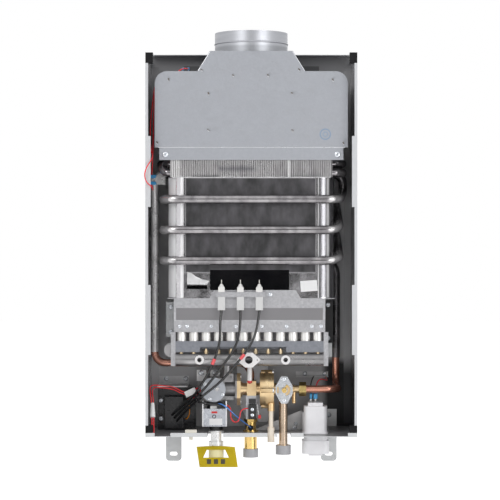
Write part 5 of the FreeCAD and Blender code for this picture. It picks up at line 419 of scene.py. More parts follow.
class Paint:
    """The finishes of the heater, by what they are on the real thing; some patches paint light or shade onto
    them, as said at each.
    """

    case_side = Finish("case_enamel", (0.61, 0.62, 0.64), (0.595, 0.605, 0.625), roughness=0.32, scale=20.0,
        fine=1400.0, bump=0.05, specular=0.35, grime=0.04, patches=(
            spot((-169.4, 169.4), CASE_INSIDE, (0.5, 640), (0.44, 0.44, 0.45), metallic=0.3, roughness=0.24),
            # painted shade: the lower inside of the right panel is darkened where shade falls
            spot((0, 169.4), CASE_INSIDE, (-200, 120), (0.035, 0.035, 0.04), roughness=0.24, soft=0.03,
                across=0.0003),
            # painted shade: the top of both panels' insides is darkened under the hood
            spot((-169.4, 169.4), CASE_INSIDE, (600, 800), (0.03, 0.03, 0.035), roughness=0.24, soft=0.03,
                across=0.0003),
            # painted reflection: a lighter band on the right panel's inside
            spot((0, 169.4), CASE_INSIDE, (380, 470), (0.24, 0.24, 0.245), metallic=0.2, roughness=0.24,
                soft=0.03, across=0.0003)))
    case_back = Finish("back_enamel", (0.61, 0.62, 0.64), (0.585, 0.595, 0.615), roughness=0.34, scale=16.0,
        fine=1200.0, bump=0.05, specular=0.2, grime=0.06, patches=(
            spot((-170, 170), (-40, -0.6), (-14, 627.7), (0.42, 0.42, 0.43), metallic=0.2),
            # painted shade: the top of the back panel's inside darkens under the hood
            spot((-300, 300), (-200, -0.6), (585, 800), (0.05, 0.05, 0.055), strength=0.8, soft=0.045),
            # painted shade: the lower right corner of the back panel's inside is near black
            spot((118, 300), (-200, -0.6), (-200, 118), (0.02, 0.02, 0.022), roughness=0.26, soft=0.012),
            spot((-300, 300), (-200, 1), (627.9, 900), (0.6, 0.61, 0.63), roughness=0.34)))
    case_floor = Finish("floor_enamel", (0.66, 0.67, 0.68), (0.6, 0.61, 0.62), roughness=0.35, scale=20.0,
        fine=1200.0, bump=0.06, grime=0.06, patches=(
            spot((-169, 169), (-183.5, 1), (0.4, 8), (0.3, 0.3, 0.31), roughness=0.35),))
    bracket = Finish("bracket_enamel", (0.6, 0.61, 0.62), (0.55, 0.56, 0.57), metallic=0.15, roughness=0.24,
        scale=70.0, bump=0.05, coat=0.4, grime=0.04, patches=(
            # painted shade: the hanger's upper part is darkened to match the painted shade at the top of the
            # back panel
            spot((-140, 140), (-6, 1), (540, 640), (0.12, 0.12, 0.125), metallic=0.3),))
    pipe_plate = Finish("plate_enamel", (0.92, 0.92, 0.94), (0.85, 0.85, 0.87), roughness=0.32, scale=30.0,
        bump=0.05, coat=0.2)
    black_clip = Finish("black_clip", (0.007, 0.007, 0.008), (0.012, 0.012, 0.013), roughness=0.5,
        fine=1600.0, specular=0.15, grime=0.0)
    ivory = Finish("ivory_plastic", (0.8, 0.77, 0.69), (0.76, 0.72, 0.63), roughness=0.4, grime=0.05)
    hood = Finish("hood_galvanised", (0.43, 0.445, 0.48), (0.375, 0.39, 0.425), metallic=0.5, roughness=0.42,
        spread=0.14, grain=Grain.SPANGLE, scale=130.0, fine=1500.0, bump=0.06, grime=0.05, patches=(
            Patch(low=mm(119.6, -163.4, 487), high=mm(8.2, 1.1, 0), colour=(0.1, 0.24, 0.42),
                shape=Shape.RING, strength=0.6, roughness=0.5),
            Patch(low=mm(119.6, -163.4, 487), high=mm(3.6, 1.3, 0), colour=(0.1, 0.24, 0.42),
                shape=Shape.RING, strength=0.4, roughness=0.5)))
    # A bright finish that paints highlights: on the hood's fold, its neck edges and below its tabs.
    hood_highlight = Finish("hood_fold", (0.8, 0.81, 0.84), (0.72, 0.73, 0.76), metallic=0.4, scale=90.0,
        bump=0.04)
    # Dark brown for the tabs' slits and the painted shadow beside them.
    hood_mark = Finish("hood_mark", (0.1, 0.085, 0.07), (0.16, 0.13, 0.11), metallic=0.4, roughness=0.5)
    hood_inside = Finish("hood_sheet", (0.4, 0.41, 0.44), (0.35, 0.36, 0.39), metallic=0.6, roughness=0.42,
        grain=Grain.SPANGLE, scale=150.0, fine=1500.0, bump=0.06)
    collar = Finish("collar_zinc", (0.47, 0.48, 0.51), (0.43, 0.44, 0.47), metallic=0.85, roughness=0.4,
        spread=0.04, scale=14.0, fine=700.0, stretch=(1.0, 1.0, 14.0), bump=0.01, grime=0.04, patches=(
            # painted shade: the collar's lower part is darkened
            spot((-80, 80), (-170, -20), (600, 634), (0.3, 0.31, 0.33), metallic=0.85, roughness=0.42,
                strength=0.7, soft=0.003),))
    shell = Finish("tinned_shell", (0.66, 0.65, 0.67), (0.52, 0.51, 0.53), metallic=1.0, roughness=0.2,
        spread=0.1, scale=55.0, fine=70.0, stretch=(1.0, 1.0, 0.5), bump=0.5, depth=0.001,
        grime=0.12, patches=(
            # painted reflection: the flat middle of the chamber's front is darkened as if it mirrored a dark
            # room
            spot((-108, 106), (-165, -155), (262, 418), (0.062, 0.059, 0.066), second=(0.006, 0.006, 0.007),
                metallic=0.1, roughness=0.42, strength=0.97, soft=0.003),
            # painted highlights: pale bands on the left rounded corner
            spot((-136, -121), *SHELL_CORNER, PAINTED_HIGHLIGHT, metallic=0.15, strength=0.9, soft=0.002),
            spot((-115, -109), *SHELL_CORNER, PAINTED_HIGHLIGHT, metallic=0.3, strength=0.9, soft=0.001),
            # painted reflection and highlights: a darker band on the right rounded corner with two pale bands
            # on it
            spot((106, 132), *SHELL_CORNER, (0.13, 0.13, 0.14), metallic=0.9, roughness=0.25,
                strength=0.8, soft=0.002),
            spot((107, 110), *SHELL_CORNER, PAINTED_HIGHLIGHT, metallic=0.3, strength=0.7, soft=0.001),
            spot((121, 127), *SHELL_CORNER, PAINTED_HIGHLIGHT, metallic=0.15, strength=0.7, soft=0.002)))
    # painted highlight: the pale finish of the dent on the chamber's front
    shell_facet = Finish("tin_facet", (0.9, 0.9, 0.91), (0.7, 0.7, 0.71), metallic=0.35, roughness=0.25,
        scale=50.0, fine=140.0, bump=0.2, grime=0.0)
    fins = Finish("fin_sheet", (0.78, 0.77, 0.78), (0.34, 0.33, 0.34), metallic=0.7, spread=0.16, scale=34.0,
        fine=240.0, stretch=(2.2, 1.0, 0.7), bump=0.35, depth=0.0007, grime=0.05, patches=(
            spot((-58, 10), FIN_DEPTH, (424, 439), (0.12, 0.12, 0.14), metallic=0.6, roughness=0.34,
                strength=0.8, soft=0.008),
            spot((-98, -50), FIN_DEPTH, (400, 423), (0.05, 0.05, 0.055), metallic=0.6, roughness=0.34,
                strength=0.85, soft=0.005),
            spot((50, 118), FIN_DEPTH, (400, 428), (0.22, 0.22, 0.23), metallic=0.7, roughness=0.34,
                strength=0.6, soft=0.008),
            # painted highlights: bright strips on the fins
            spot((58, 64), FIN_DEPTH, (400, 500), (0.95, 0.95, 0.95), metallic=0.1, strength=0.8, soft=0.002),
            spot((-150, -113), FIN_DEPTH, (400, 500), (0.95, 0.95, 0.95), metallic=0.1, strength=0.45,
                soft=0.004)))
    fin_edge = Finish("fin_fold", (0.86, 0.86, 0.87), (0.55, 0.55, 0.56), metallic=0.6, roughness=0.24,
        scale=120.0, bump=0.2)
    tinned_tube = Finish("tinned_tube", (0.42, 0.405, 0.415), (0.22, 0.21, 0.22), metallic=0.9,
        roughness=0.18, spread=0.12, fine=300.0, bump=0.12, depth=0.0004, grime=0.12, patches=(
            # painted highlights: pale ends of the coil tubes at both rounded corners
            spot((-153, -122), (-180, -140), (270, 395), (0.86, 0.85, 0.85), metallic=0.85, roughness=0.2,
                strength=0.6, soft=0.008),
            spot((122, 153), (-180, -140), (270, 395), (0.86, 0.85, 0.85), metallic=0.85, roughness=0.2,
                strength=0.6, soft=0.008)))
    # painted highlight: a much paler copy of the tinned finish, for the light on the return pipe
    return_tube = Finish("return_tube", (0.92, 0.91, 0.91), (0.66, 0.65, 0.65), metallic=0.5, roughness=0.26,
        spread=0.12, scale=40.0, fine=200.0, bump=0.04, grime=0.06)
    copper = Finish("bare_copper", (0.82, 0.4, 0.29), (0.66, 0.28, 0.2), metallic=0.85, roughness=0.24,
        spread=0.06, scale=50.0, fine=80.0, bump=0.01, depth=0.0001, grime=0.08)
    dull_copper = Finish("dull_copper", (0.78, 0.4, 0.3), (0.56, 0.27, 0.2), metallic=0.8, roughness=0.28,
        spread=0.06, scale=40.0, fine=80.0, bump=0.01, depth=0.0001, grime=0.1)
    bronze = Finish("cast_bronze", (0.88, 0.68, 0.41), (0.7, 0.49, 0.26), metallic=0.85, spread=0.06,
        scale=40.0, fine=80.0, bump=0.02, depth=0.0001, grime=0.08, patches=(
            spot((44, 62), (-125, -104), (-36, 50), (0.52, 0.41, 0.31), metallic=0.9, roughness=0.27,
                soft=0.002),))
    brass = Finish("turned_brass", (0.88, 0.64, 0.26), (0.74, 0.5, 0.17), metallic=0.95, roughness=0.2,
        spread=0.06, scale=30.0, fine=60.0, bump=0.01, depth=3e-05, grime=0.04)
    nozzle_brass = Finish("nozzle_brass", (0.86, 0.7, 0.46), (0.74, 0.56, 0.33), metallic=0.7, roughness=0.32,
        scale=120.0, bump=0.04, grime=0.04)
    nut_brass = Finish("nut_brass", (0.62, 0.48, 0.2), (0.46, 0.34, 0.13), metallic=0.95, roughness=0.28,
        scale=90.0, bump=0.08, grime=0.1)
    zinc_plate = Finish("zinc_plate", (0.66, 0.68, 0.71), (0.5, 0.52, 0.55), metallic=0.75, spread=0.14,
        grain=Grain.SPANGLE, scale=200.0, fine=1400.0, bump=0.06, grime=0.06)
    solenoid_zinc = Finish("solenoid_zinc", (0.58, 0.6, 0.64), (0.42, 0.44, 0.49), metallic=0.7, spread=0.14,
        grain=Grain.SPANGLE, scale=200.0, fine=1400.0, bump=0.06, grime=0.06, patches=(
            spot((-80.5, -77.9), (-140, -105), (12, 60), (0.88, 0.88, 0.89), metallic=0.3),
            spot((-41.7, -39), (-140, -105), (12, 60), (0.88, 0.88, 0.89), metallic=0.3),
            Patch(low=mm(-60.4, -139, 28.8), high=mm(2.6, 0.9, 0), colour=(0.05, 0.045, 0.05),
                shape=Shape.RING, roughness=0.5),
            spot((-65, -55.2), (-140, -137), (34.0, 37.4), RED, roughness=0.4)))
    cover_zinc = Finish("cover_zinc", (0.5, 0.52, 0.56), (0.4, 0.42, 0.46), metallic=0.6, scale=16.0,
        fine=120.0, bump=0.02, depth=0.0001, grime=0.08)
    dark_zinc = Finish("dark_zinc", (0.66, 0.66, 0.67), (0.54, 0.54, 0.55), metallic=0.25, roughness=0.32,
        scale=50.0, bump=0.06, grime=0.1, patches=(
            spot((-94, -50), (-66, -50), (60, 104), (0.96, 0.97, 0.98), roughness=0.28, soft=0.001),
            # painted highlights: pale strips along the stays' top edges
            spot((-170, -100), (-90, 5), (60, 74), (0.95, 0.95, 0.95), metallic=0.1),
            spot((80, 140), (-90, 5), (70, 84), (0.95, 0.95, 0.95), metallic=0.1)))
    burner_sheet = Finish("burner_sheet", (0.54, 0.54, 0.56), (0.4, 0.4, 0.42), metallic=0.55, roughness=0.36,
        spread=0.16, grain=Grain.SPANGLE, scale=240.0, fine=1300.0, bump=0.12, grime=0.06, patches=(
            # painted shade: the recessed band of the front plate is darkened
            spot((-122, 116), (-170, -150), (186.4, 206.4), (0.235, 0.23, 0.24), metallic=0.2,
                roughness=0.5),))
    burner_bar = Finish("burner_bar", (0.9, 0.89, 0.87), (0.8, 0.79, 0.77), metallic=0.75, roughness=0.36,
        scale=40.0, fine=300.0, bump=0.04, grime=0.03)
    trough = Finish("trough_sheet", (0.27, 0.28, 0.31), (0.21, 0.22, 0.25), metallic=0.45, roughness=0.36,
        spread=0.1, grain=Grain.SPANGLE, scale=200.0, bump=0.06, grime=0.05)
    burner_stay = Finish("burner_stay", (0.52, 0.53, 0.54), (0.44, 0.45, 0.46), metallic=0.5, roughness=0.34,
        scale=80.0, bump=0.08, grime=0.06, patches=(
            spot((100, 150), (-102, -2), (144, 222), (0.018, 0.018, 0.02), soft=0.001, roughness=0.4),
            spot((-150, -112), (-140, -60), (118, 146), (0.62, 0.61, 0.62), metallic=0.1, soft=0.001,
                roughness=0.4)))
    cast_aluminium = Finish("cast_aluminium", (0.34, 0.335, 0.34), (0.25, 0.245, 0.25), metallic=0.6,
        roughness=0.36, spread=0.12, scale=120.0, fine=1500.0, bump=0.2, depth=0.0003, grime=0.08)
    manifold = Finish("manifold_cast", (0.35, 0.345, 0.35), (0.28, 0.275, 0.28), metallic=0.8, spread=0.1,
        bump=0.04, grime=0.08, patches=(
            # painted highlight: a bright band on the manifold's left part
            spot((-112, -50), (-170, -120), (112, 122), (0.62, 0.61, 0.62), metallic=0.5, strength=0.7,
                soft=0.004, across=0.012),
            spot((-130, 130), (-167, -163.2), (105, 140), (0.78, 0.77, 0.77), metallic=0.3, soft=0.0004,
                roughness=0.4)))
    gas_pipe = Finish("gas_pipe", (0.9, 0.9, 0.9), (0.82, 0.82, 0.82), metallic=0.45, roughness=0.28,
        spread=0.06, scale=30.0, fine=60.0, bump=0.01, depth=3e-05, grime=0.03, patches=(
            spot((-80, -40), (-120, -70), (2.3, 11.9), BLACK, roughness=0.4),))
    dark_glass = Finish("dark_glass", (0.003, 0.003, 0.004), (0.007, 0.007, 0.008), roughness=0.12,
        spread=0.06, scale=24.0, bump=0.02, specular=0.3, grime=0.02)
    ceramic = Finish("white_ceramic", (0.84, 0.83, 0.81), (0.78, 0.77, 0.75), fine=1300.0, bump=0.06,
        coat=0.3, grime=0.04, patches=(
            spot((-70, 40), (-180, -150), (202, 224.6), (0.64, 0.64, 0.64), roughness=0.4),
            spot((-70, 40), (-180, -150), (245.3, 260), (0.5, 0.48, 0.45), metallic=1.0)))
    black_box = Finish("control_black", (0.014, 0.014, 0.016), (0.021, 0.021, 0.023), roughness=0.28,
        fine=1500.0, bump=0.08, coat=0.05)
    coil_black = Finish("solenoid_winding", (0.018, 0.018, 0.02), (0.026, 0.026, 0.028), roughness=0.35,
        fine=1300.0, patches=(
            spot((-67.2, -56.0), (-139, -120), (41, 46), (0.78, 0.78, 0.77), roughness=0.4),))
    switch_black = Finish("switch_black", (0.018, 0.018, 0.019), (0.026, 0.026, 0.027), roughness=0.4,
        fine=1500.0, bump=0.08, patches=(
            spot((-12, 12), (-130.2, -128), (20, 66), (0.5, 0.5, 0.52), metallic=0.7, roughness=0.35),))
    light_grey = Finish("battery_grey", (0.86, 0.855, 0.88), (0.82, 0.815, 0.84), roughness=0.34, fine=1500.0,
        bump=0.04, coat=0.2, grime=0.03)
    drain_ivory = Finish("drain_ivory", (0.93, 0.84, 0.72), (0.9, 0.79, 0.65), roughness=0.4, grime=0.05)
    cap_grey = Finish("cap_grey", (0.46, 0.46, 0.48), (0.41, 0.41, 0.43), roughness=0.42, fine=1200.0,
        bump=0.08)
    cap_cream = Finish("cap_cream", (0.97, 0.91, 0.55), (0.95, 0.87, 0.48), roughness=0.4, fine=1200.0,
        bump=0.05, grime=0.03)
    tag = Finish("tag_card", (0.58, 0.44, 0.012), (0.52, 0.38, 0.01), roughness=0.5, specular=0.2, fine=500.0,
        bump=0.06, grime=0.04)
    white_rod = Finish("white_rod", (0.82, 0.81, 0.8), (0.78, 0.77, 0.76), coat=0.3, grime=0.03, patches=(
            spot((-10, 10), (-145, -120), (80, 87.2), RED),))
    lever = Finish("lever_steel", (0.74, 0.74, 0.74), (0.6, 0.6, 0.6), metallic=0.7, roughness=0.28,
        scale=90.0, bump=0.05, patches=(
            spot((5, 20), (-145, -125), (24, 31.5), RED, roughness=0.35),))
    steel = Finish("bright_steel", (0.72, 0.72, 0.72), (0.6, 0.6, 0.6), metallic=0.9, roughness=0.24,
        scale=90.0, fine=1400.0, bump=0.05)
    sensor = Finish("switch_can", (0.88, 0.88, 0.88), (0.76, 0.76, 0.76), metallic=0.6, roughness=0.26,
        scale=90.0, bump=0.06, patches=(
            spot((-10, 10), (-125, -90), (-5, 20), BLACK, roughness=0.35),))
    screw_zinc = Finish("screw_zinc", (0.86, 0.89, 0.93), (0.7, 0.74, 0.79), metallic=0.6, roughness=0.22,
        scale=200.0, fine=1600.0, bump=0.08, grime=0.04)
    cell = Finish("cell_jacket", (0.02, 0.02, 0.022), (0.03, 0.03, 0.033), roughness=0.25, coat=0.4, patches=(
            spot((80, 130), (-150, -90), (14, 30.5), (0.5, 0.3, 0.06), metallic=0.6, roughness=0.25),))
    lead_black = Finish("lead_silicone", (0.006, 0.006, 0.007), (0.01, 0.01, 0.011), roughness=0.2,
        scale=150.0, fine=1600.0, bump=0.0, coat=0.8, specular=0.3, grime=0.0)
    wire_red = Finish("wire_red", (0.92, 0.03, 0.04), (0.86, 0.025, 0.035), coat=0.3, grime=0.02)
    wire_blue = Finish("wire_blue", (0.08, 0.28, 0.8), (0.07, 0.25, 0.72), coat=0.3, grime=0.02)
    wire_orange = Finish("wire_orange", (0.8, 0.3, 0.02), (0.7, 0.24, 0.015), roughness=0.34, coat=0.2)
    sleeve_red = Finish("sleeve_red", (0.86, 0.13, 0.14), (0.8, 0.1, 0.11), roughness=0.42, grime=0.03)
    sleeve_blue = Finish("sleeve_blue", (0.04, 0.34, 0.66), (0.03, 0.26, 0.54), coat=0.4)
    plug_white = Finish("plug_white", (0.95, 0.95, 0.95), (0.91, 0.91, 0.91), roughness=0.38, coat=0.2,
        grime=0.03)
    label_white = Finish("label_paper", (0.82, 0.82, 0.83), (0.78, 0.78, 0.79), roughness=0.5, grime=0.03)
    label_ink = Finish("label_ink", (0.2, 0.2, 0.21), (0.28, 0.28, 0.29), roughness=0.6, grime=0.0)
    tag_ink = Finish("tag_ink", (0.05, 0.045, 0.03), (0.08, 0.07, 0.04), roughness=0.5, grime=0.0)


def placed(name: str, data: bpy.types.ID | None) -> bpy.types.Object:
    """A new object of the data, linked to the scene."""
    made = bpy.data.objects.new(name, data)
    bpy.context.scene.collection.objects.link(made)
    return made


def plain_mesh(holder: bpy.types.Object) -> bpy.types.Mesh:
    """The plain mesh of an object with its modifiers or its spline worked out."""
    bpy.context.view_layer.update()
    graph = bpy.context.evaluated_depsgraph_get()
    return bpy.data.meshes.new_from_object(holder.evaluated_get(graph))


def piece(name: str, data: bpy.types.ID, finishes: list[Finish], body: str = HEATER,
          stands_for: tuple[str, ...] = ()) -> None:
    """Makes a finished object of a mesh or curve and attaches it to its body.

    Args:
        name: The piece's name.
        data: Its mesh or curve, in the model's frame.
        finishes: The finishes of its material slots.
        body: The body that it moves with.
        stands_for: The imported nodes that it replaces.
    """
    made = placed(name, data)
    data.materials.clear()
    for finish in finishes:
        data.materials.append(finish.material())
    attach(made, body)
    if stands_for:
        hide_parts(*stands_for)
    LOG.info("%s: %s on %s", name, finishes[0].name, body)


def mesh_of(name: str, form: bmesh.types.BMesh, angle: float = 35.0) -> bpy.types.Mesh:
    """Turns a bmesh into a smooth-shaded mesh with sharp edges past an angle.

    Args:
        name: The mesh's name.
        form: The bmesh, which is freed.
        angle: Edges sharper than this, in degrees, stay sharp.

    Returns:
        The new mesh.
    """
    bmesh.ops.remove_doubles(form, verts=form.verts, dist=1e-7)
    bmesh.ops.recalc_face_normals(form, faces=form.faces)
    mesh = bpy.data.meshes.new(name)
    form.to_mesh(mesh)
    form.free()
    mesh.polygons.foreach_set("use_smooth", [True] * len(mesh.polygons))
    mesh.set_sharp_from_angle(angle=math.radians(angle))
    return mesh


def joined(name: str, meshes: list[bpy.types.Mesh]) -> bpy.types.Mesh:
    """Joins meshes into one and keeps their face shading.

    Args:
        name: The joined mesh's name.
        meshes: The meshes, which are removed.

    Returns:
        The joined mesh.
    """
    form = bmesh.new()
    for mesh in meshes:
        form.from_mesh(mesh)
    for mesh in meshes:
        bpy.data.meshes.remove(mesh)
    return mesh_of(name, form)


def box_form(size: Place, centre: Place, bevel: float, turn: Matrix | None = None) -> bpy.types.Mesh:
    """A box with rounded edges.

    Args:
        size: Its lengths along X, Y and Z.
        centre: Its middle.
        bevel: The radius of its edges.
        turn: A rotation about its middle.

    Returns:
        The box's mesh.
    """
    form = bmesh.new()
    bmesh.ops.create_cube(form, size=1.0)
    bmesh.ops.scale(form, vec=size, verts=form.verts)
    bmesh.ops.bevel(form, geom=list(form.edges), offset=bevel, segments=3, profile=0.5, affect="EDGES")
    form.transform(Matrix.Translation(centre) @ (turn or Matrix.Identity(4)))
    return mesh_of("box", form, 60.0)


def tube_form(line: list[Vector], radii: list[float], sides: int = 20, bore: float = 0.0) -> bpy.types.Mesh:
    """A tube along a line, open-ended with a bore or closed without one.

    Args:
        line: Points along its axis.
        radii: Its outside radius at each point.
        sides: Corners of its section.
        bore: The radius of its bore, or nought for a solid rod.

    Returns:
        The tube's mesh.
    """
    form = bmesh.new()
    forward = [(line[min(i + 1, len(line) - 1)] - line[max(i - 1, 0)]).normalized() for i in range(len(line))]
    across = forward[0].orthogonal().normalized()
    loops = []
    for place, heading, radius in zip(line, forward, radii):
        across = (across - heading * across.dot(heading)).normalized()
        up = heading.cross(across)
        angles = [math.tau * k / sides for k in range(sides)]
        spokes = [across * math.cos(a) + up * math.sin(a) for a in angles]
        loops.append([form.verts.new(place + spoke * radius) for spoke in spokes])
        if bore and place in (line[0], line[-1]):
            loops.append([form.verts.new(place + spoke * bore) for spoke in spokes])
    if bore:
        first, first_bore, *middle, last, last_bore = loops
        order = [first_bore, first, *middle, last, last_bore, first_bore]
    else:
        order = loops
        form.faces.new(loops[0])
        form.faces.new(loops[-1])
    for one, two in zip(order, order[1:]):
        for k in range(sides):
            form.faces.new((one[k], one[(k + 1) % sides], two[(k + 1) % sides], two[k]))
    return mesh_of("tube", form)


def lathe_form(outline: list[Span], foot: Vector, heading: Vector, sides: int = 32) -> bpy.types.Mesh:
    """A turned shape from (radius, height) corners along a heading.

    Args:
        outline: Radius and height of each corner, from one end of the axis to the other.
        foot: Where the height is nought.
        heading: The direction of the axis.
        sides: Corners of its section.

    Returns:
        The turned shape's mesh.
    """
    form = bmesh.new()
    turn = heading.to_track_quat("Z", "Y").to_matrix().to_4x4()
    loops = []
    for radius, height in outline:
        if radius < 1e-6:
            loops.append([form.verts.new((0, 0, height))] * sides)
            continue
        spokes = [math.tau * k / sides for k in range(sides)]
        loops.append([form.verts.new((radius * math.cos(a), radius * math.sin(a), height)) for a in spokes])
    for one, two in zip(loops, loops[1:]):
        for k in range(sides):
            corners = [one[k], one[(k + 1) % sides], two[(k + 1) % sides], two[k]]
            kept = list(dict.fromkeys(corners))
            if len(kept) > 2:
                form.faces.new(kept)
    form.transform(Matrix.Translation(foot) @ turn)
    return mesh_of("lathe", form)


class Repeater:
    """A geometry node tree that places a shape at marked points."""

    def __init__(self, name: str, sizes: dict[str, str]) -> None:
        """Starts the tree.

        Args:
            name: The tree's name.
            sizes: Socket types by input name.
        """
        self.group = bpy.data.node_groups.new(name, "GeometryNodeTree")
        sockets = self.group.interface
        sockets.new_socket(name="Geometry", in_out="INPUT", socket_type="NodeSocketGeometry")
        for title, kind in sizes.items():
            sockets.new_socket(name=title, in_out="INPUT", socket_type=f"NodeSocket{kind}")
        sockets.new_socket(name="Geometry", in_out="OUTPUT", socket_type="NodeSocketGeometry")
        self.kit = Tree(self.group)
        self.given = self.group.nodes.new("NodeGroupInput").outputs
        self.result = self.group.nodes.new("NodeGroupOutput").inputs

    def scatter(self, shape: bpy.types.NodeSocket, scale: object, finish: Finish) -> None:
        """Puts a shape at every marked point and ends the tree in real geometry with its finish.

        Args:
            shape: The shape's geometry socket.
            scale: A number or socket that multiplies each point's own size.
            finish: The finish of what is made.
        """
        points = self.kit.add("GeometryNodeMeshToPoints", {"Mesh": self.given["Geometry"]})
        turn = self.kit.add("GeometryNodeInputNamedAttribute", {"Name": "turn"}, data_type="FLOAT_VECTOR")
        size = self.kit.add("GeometryNodeInputNamedAttribute", {"Name": "size"}, data_type="FLOAT")
        heads = self.kit.add("GeometryNodeInstanceOnPoints", {
            "Points": points.outputs[0], "Instance": shape, "Rotation": turn.outputs["Attribute"],
            "Scale": self.kit.math("MULTIPLY", size.outputs["Attribute"], scale)})
        real = self.kit.add("GeometryNodeRealizeInstances", {"Geometry": heads.outputs[0]})
        dressed = self.kit.add("GeometryNodeSetMaterial", {"Geometry": real.outputs[0]})
        dressed.inputs["Material"].default_value = finish.material()
        self.group.links.new(dressed.outputs[0], self.result["Geometry"])

    @staticmethod
    def marked(places: list[Place], turns: list[Place], sizes: list[float]) -> bpy.types.Mesh:
        """Points that carry a turn and a size each.

        Args:
            places: Where they are, in metres.
            turns: Their rotations in radians.
            sizes: Their sizes, as shares of the shape's own.

        Returns:
            The points' mesh.
        """
        base = bpy.data.meshes.new("points")
        base.from_pydata(places, [], [])
        base.attributes.new("turn", "FLOAT_VECTOR", "POINT")
        base.attributes.new("size", "FLOAT", "POINT")
        base.attributes["turn"].data.foreach_set("vector", [part for turn in turns for part in turn])
        base.attributes["size"].data.foreach_set("value", sizes)
        return base

    def run(self, base: bpy.types.Mesh, values: dict[str, object]) -> bpy.types.Mesh:
        """Evaluates the tree on marked points.

        Args:
            base: The mesh of marked points.
            values: The sizes by input name.

        Returns:
            The finished plain mesh.
        """
        holder = placed(f"{self.group.name}_points", base)
        modifier = holder.modifiers.new("repeat", "NODES")
        modifier.node_group = self.group
        for item in self.group.interface.items_tree:
            if item.in_out == "INPUT" and item.name in values:
                modifier[item.identifier] = values[item.name]
        mesh = plain_mesh(holder)
        holder.modifiers.remove(modifier)
        bpy.data.objects.remove(holder)
        form = bmesh.new()
        form.from_mesh(mesh)
        bpy.data.meshes.remove(mesh)
        return mesh_of(self.group.name, form)


@dataclass
class Assembly:
    """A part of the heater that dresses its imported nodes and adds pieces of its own."""

    finishes: ClassVar[dict[str, Finish]] = {}

    def dress(self) -> None:
        """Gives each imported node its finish."""
        for name, finish in self.finishes.items():
            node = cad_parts[name]
            node.data.materials.clear()
            node.data.materials.append(finish.material())
            LOG.info("%s: %s", name, finish.name)

    def build(self) -> None:
        """Adds the assembly's own pieces."""


@dataclass
class Case(Assembly):
    """Back panel, side panels, floor, brackets and clips."""

    finishes: ClassVar[dict[str, Finish]] = {
        "back_panel": Paint.case_back, "side_panel_left": Paint.case_side,
        "side_panel_right": Paint.case_side, "floor_panel": Paint.case_floor,
        "wall_brackets": Paint.bracket, "corner_clips": Paint.black_clip, "cover_latch": Paint.ivory,
        "inner_stays": Paint.dark_zinc, "pipe_plate": Paint.pipe_plate, "control_unit": Paint.black_box}


@dataclass
class Hood(Assembly):
    """Draught hood with its baffle and the flue spigot."""

    finishes: ClassVar[dict[str, Finish]] = {
        "hood_front_plate": Paint.hood, "hood_back": Paint.hood_inside, "hood_case": Paint.hood_inside,
        "draught_baffle": Paint.hood_inside, "flue_collar": Paint.collar}
    face: float = -163.3
    fold_z: float = 465.7
    fold_half: float = 151.0
    tab_places: tuple[Span, ...] = (
        (-133.5, 575.6), (-79.9, 591.1), (-29.0, 582.3), (27.2, 582.3), (77.3, 591.7), (131.7, 575.1),
        (-69.2, 553.1), (65.8, 553.6), (-69.2, 494.2), (66.6, 493.4), (-152.0, 473.8), (148.8, 472.7))
    neck_edge: tuple[Span, ...] = ((86.2, 589.4), (76.2, 605.4), (66.4, 621.0))
    edge_radius: float = 0.55
    edge_sides: int = 8
    proud: float = 0.1
    fold_thick: float = 0.5
    fold_high: float = 0.9
    fold_bevel: float = 0.2
    tab_first_slant: int = 70
    tab_slant_step: int = 50
    tab_slant_range: int = 60
    tab_size: Place = mm(4.0, 0.5, 1.9)
    tab_highlight_size: Place = mm(3.0, 0.4, 1.5)
    tab_highlight_drop: float = 2.0

    def build(self) -> None:
        """Adds the fold line and the neck edges as thin bright strips of painted highlight, and the small
        tabs of the inner sheets that show through the front plate, each a dark box for its slit and painted
        shadow with a painted highlight below.
        """
        fold = box_form(mm(2 * self.fold_half, self.fold_thick, self.fold_high),
                        mm(0, self.face - self.proud, self.fold_z), *mm(self.fold_bevel))
        piece("hood_fold", fold, [Paint.hood_highlight])
        edges = []
        for side in (-1, 1):
            line = [Vector(mm(side * x, self.face, z)) for x, z in self.neck_edge]
            edges.append(tube_form(line, mm(self.edge_radius) * len(line), self.edge_sides))
        piece("hood_edges", joined("hood_edges", edges), [Paint.hood_highlight])
        tree = Repeater("hood_tabs", {"Size": "Vector"})
        tab = tree.kit.add("GeometryNodeMeshCube", {"Size": tree.given["Size"]})
        tree.scatter(tab.outputs["Mesh"], 1.0, Paint.hood_mark)
        for name, drop, size, finish in (
                ("hood_tabs", 0.0, self.tab_size, Paint.hood_mark),
                ("hood_tab_rims", self.tab_highlight_drop, self.tab_highlight_size, Paint.hood_highlight)):
            piece(name, tree.run(self.tab_points(drop), {"Size": size}), [finish])

    def tab_points(self, drop: float) -> bpy.types.Mesh:
        """The tabs' places with their turns.

        Args:
            drop: Millimetres below the tabs.

        Returns:
            A mesh of marked points.
        """
        count = len(self.tab_places)
        slants = [math.radians(self.tab_first_slant - (i * self.tab_slant_step) % self.tab_slant_range)
                  for i in range(count)]
        return Repeater.marked([mm(x, self.face - self.proud, z - drop) for x, z in self.tab_places],
                               [(0.0, slant, 0.0) for slant in slants], [1.0] * count)


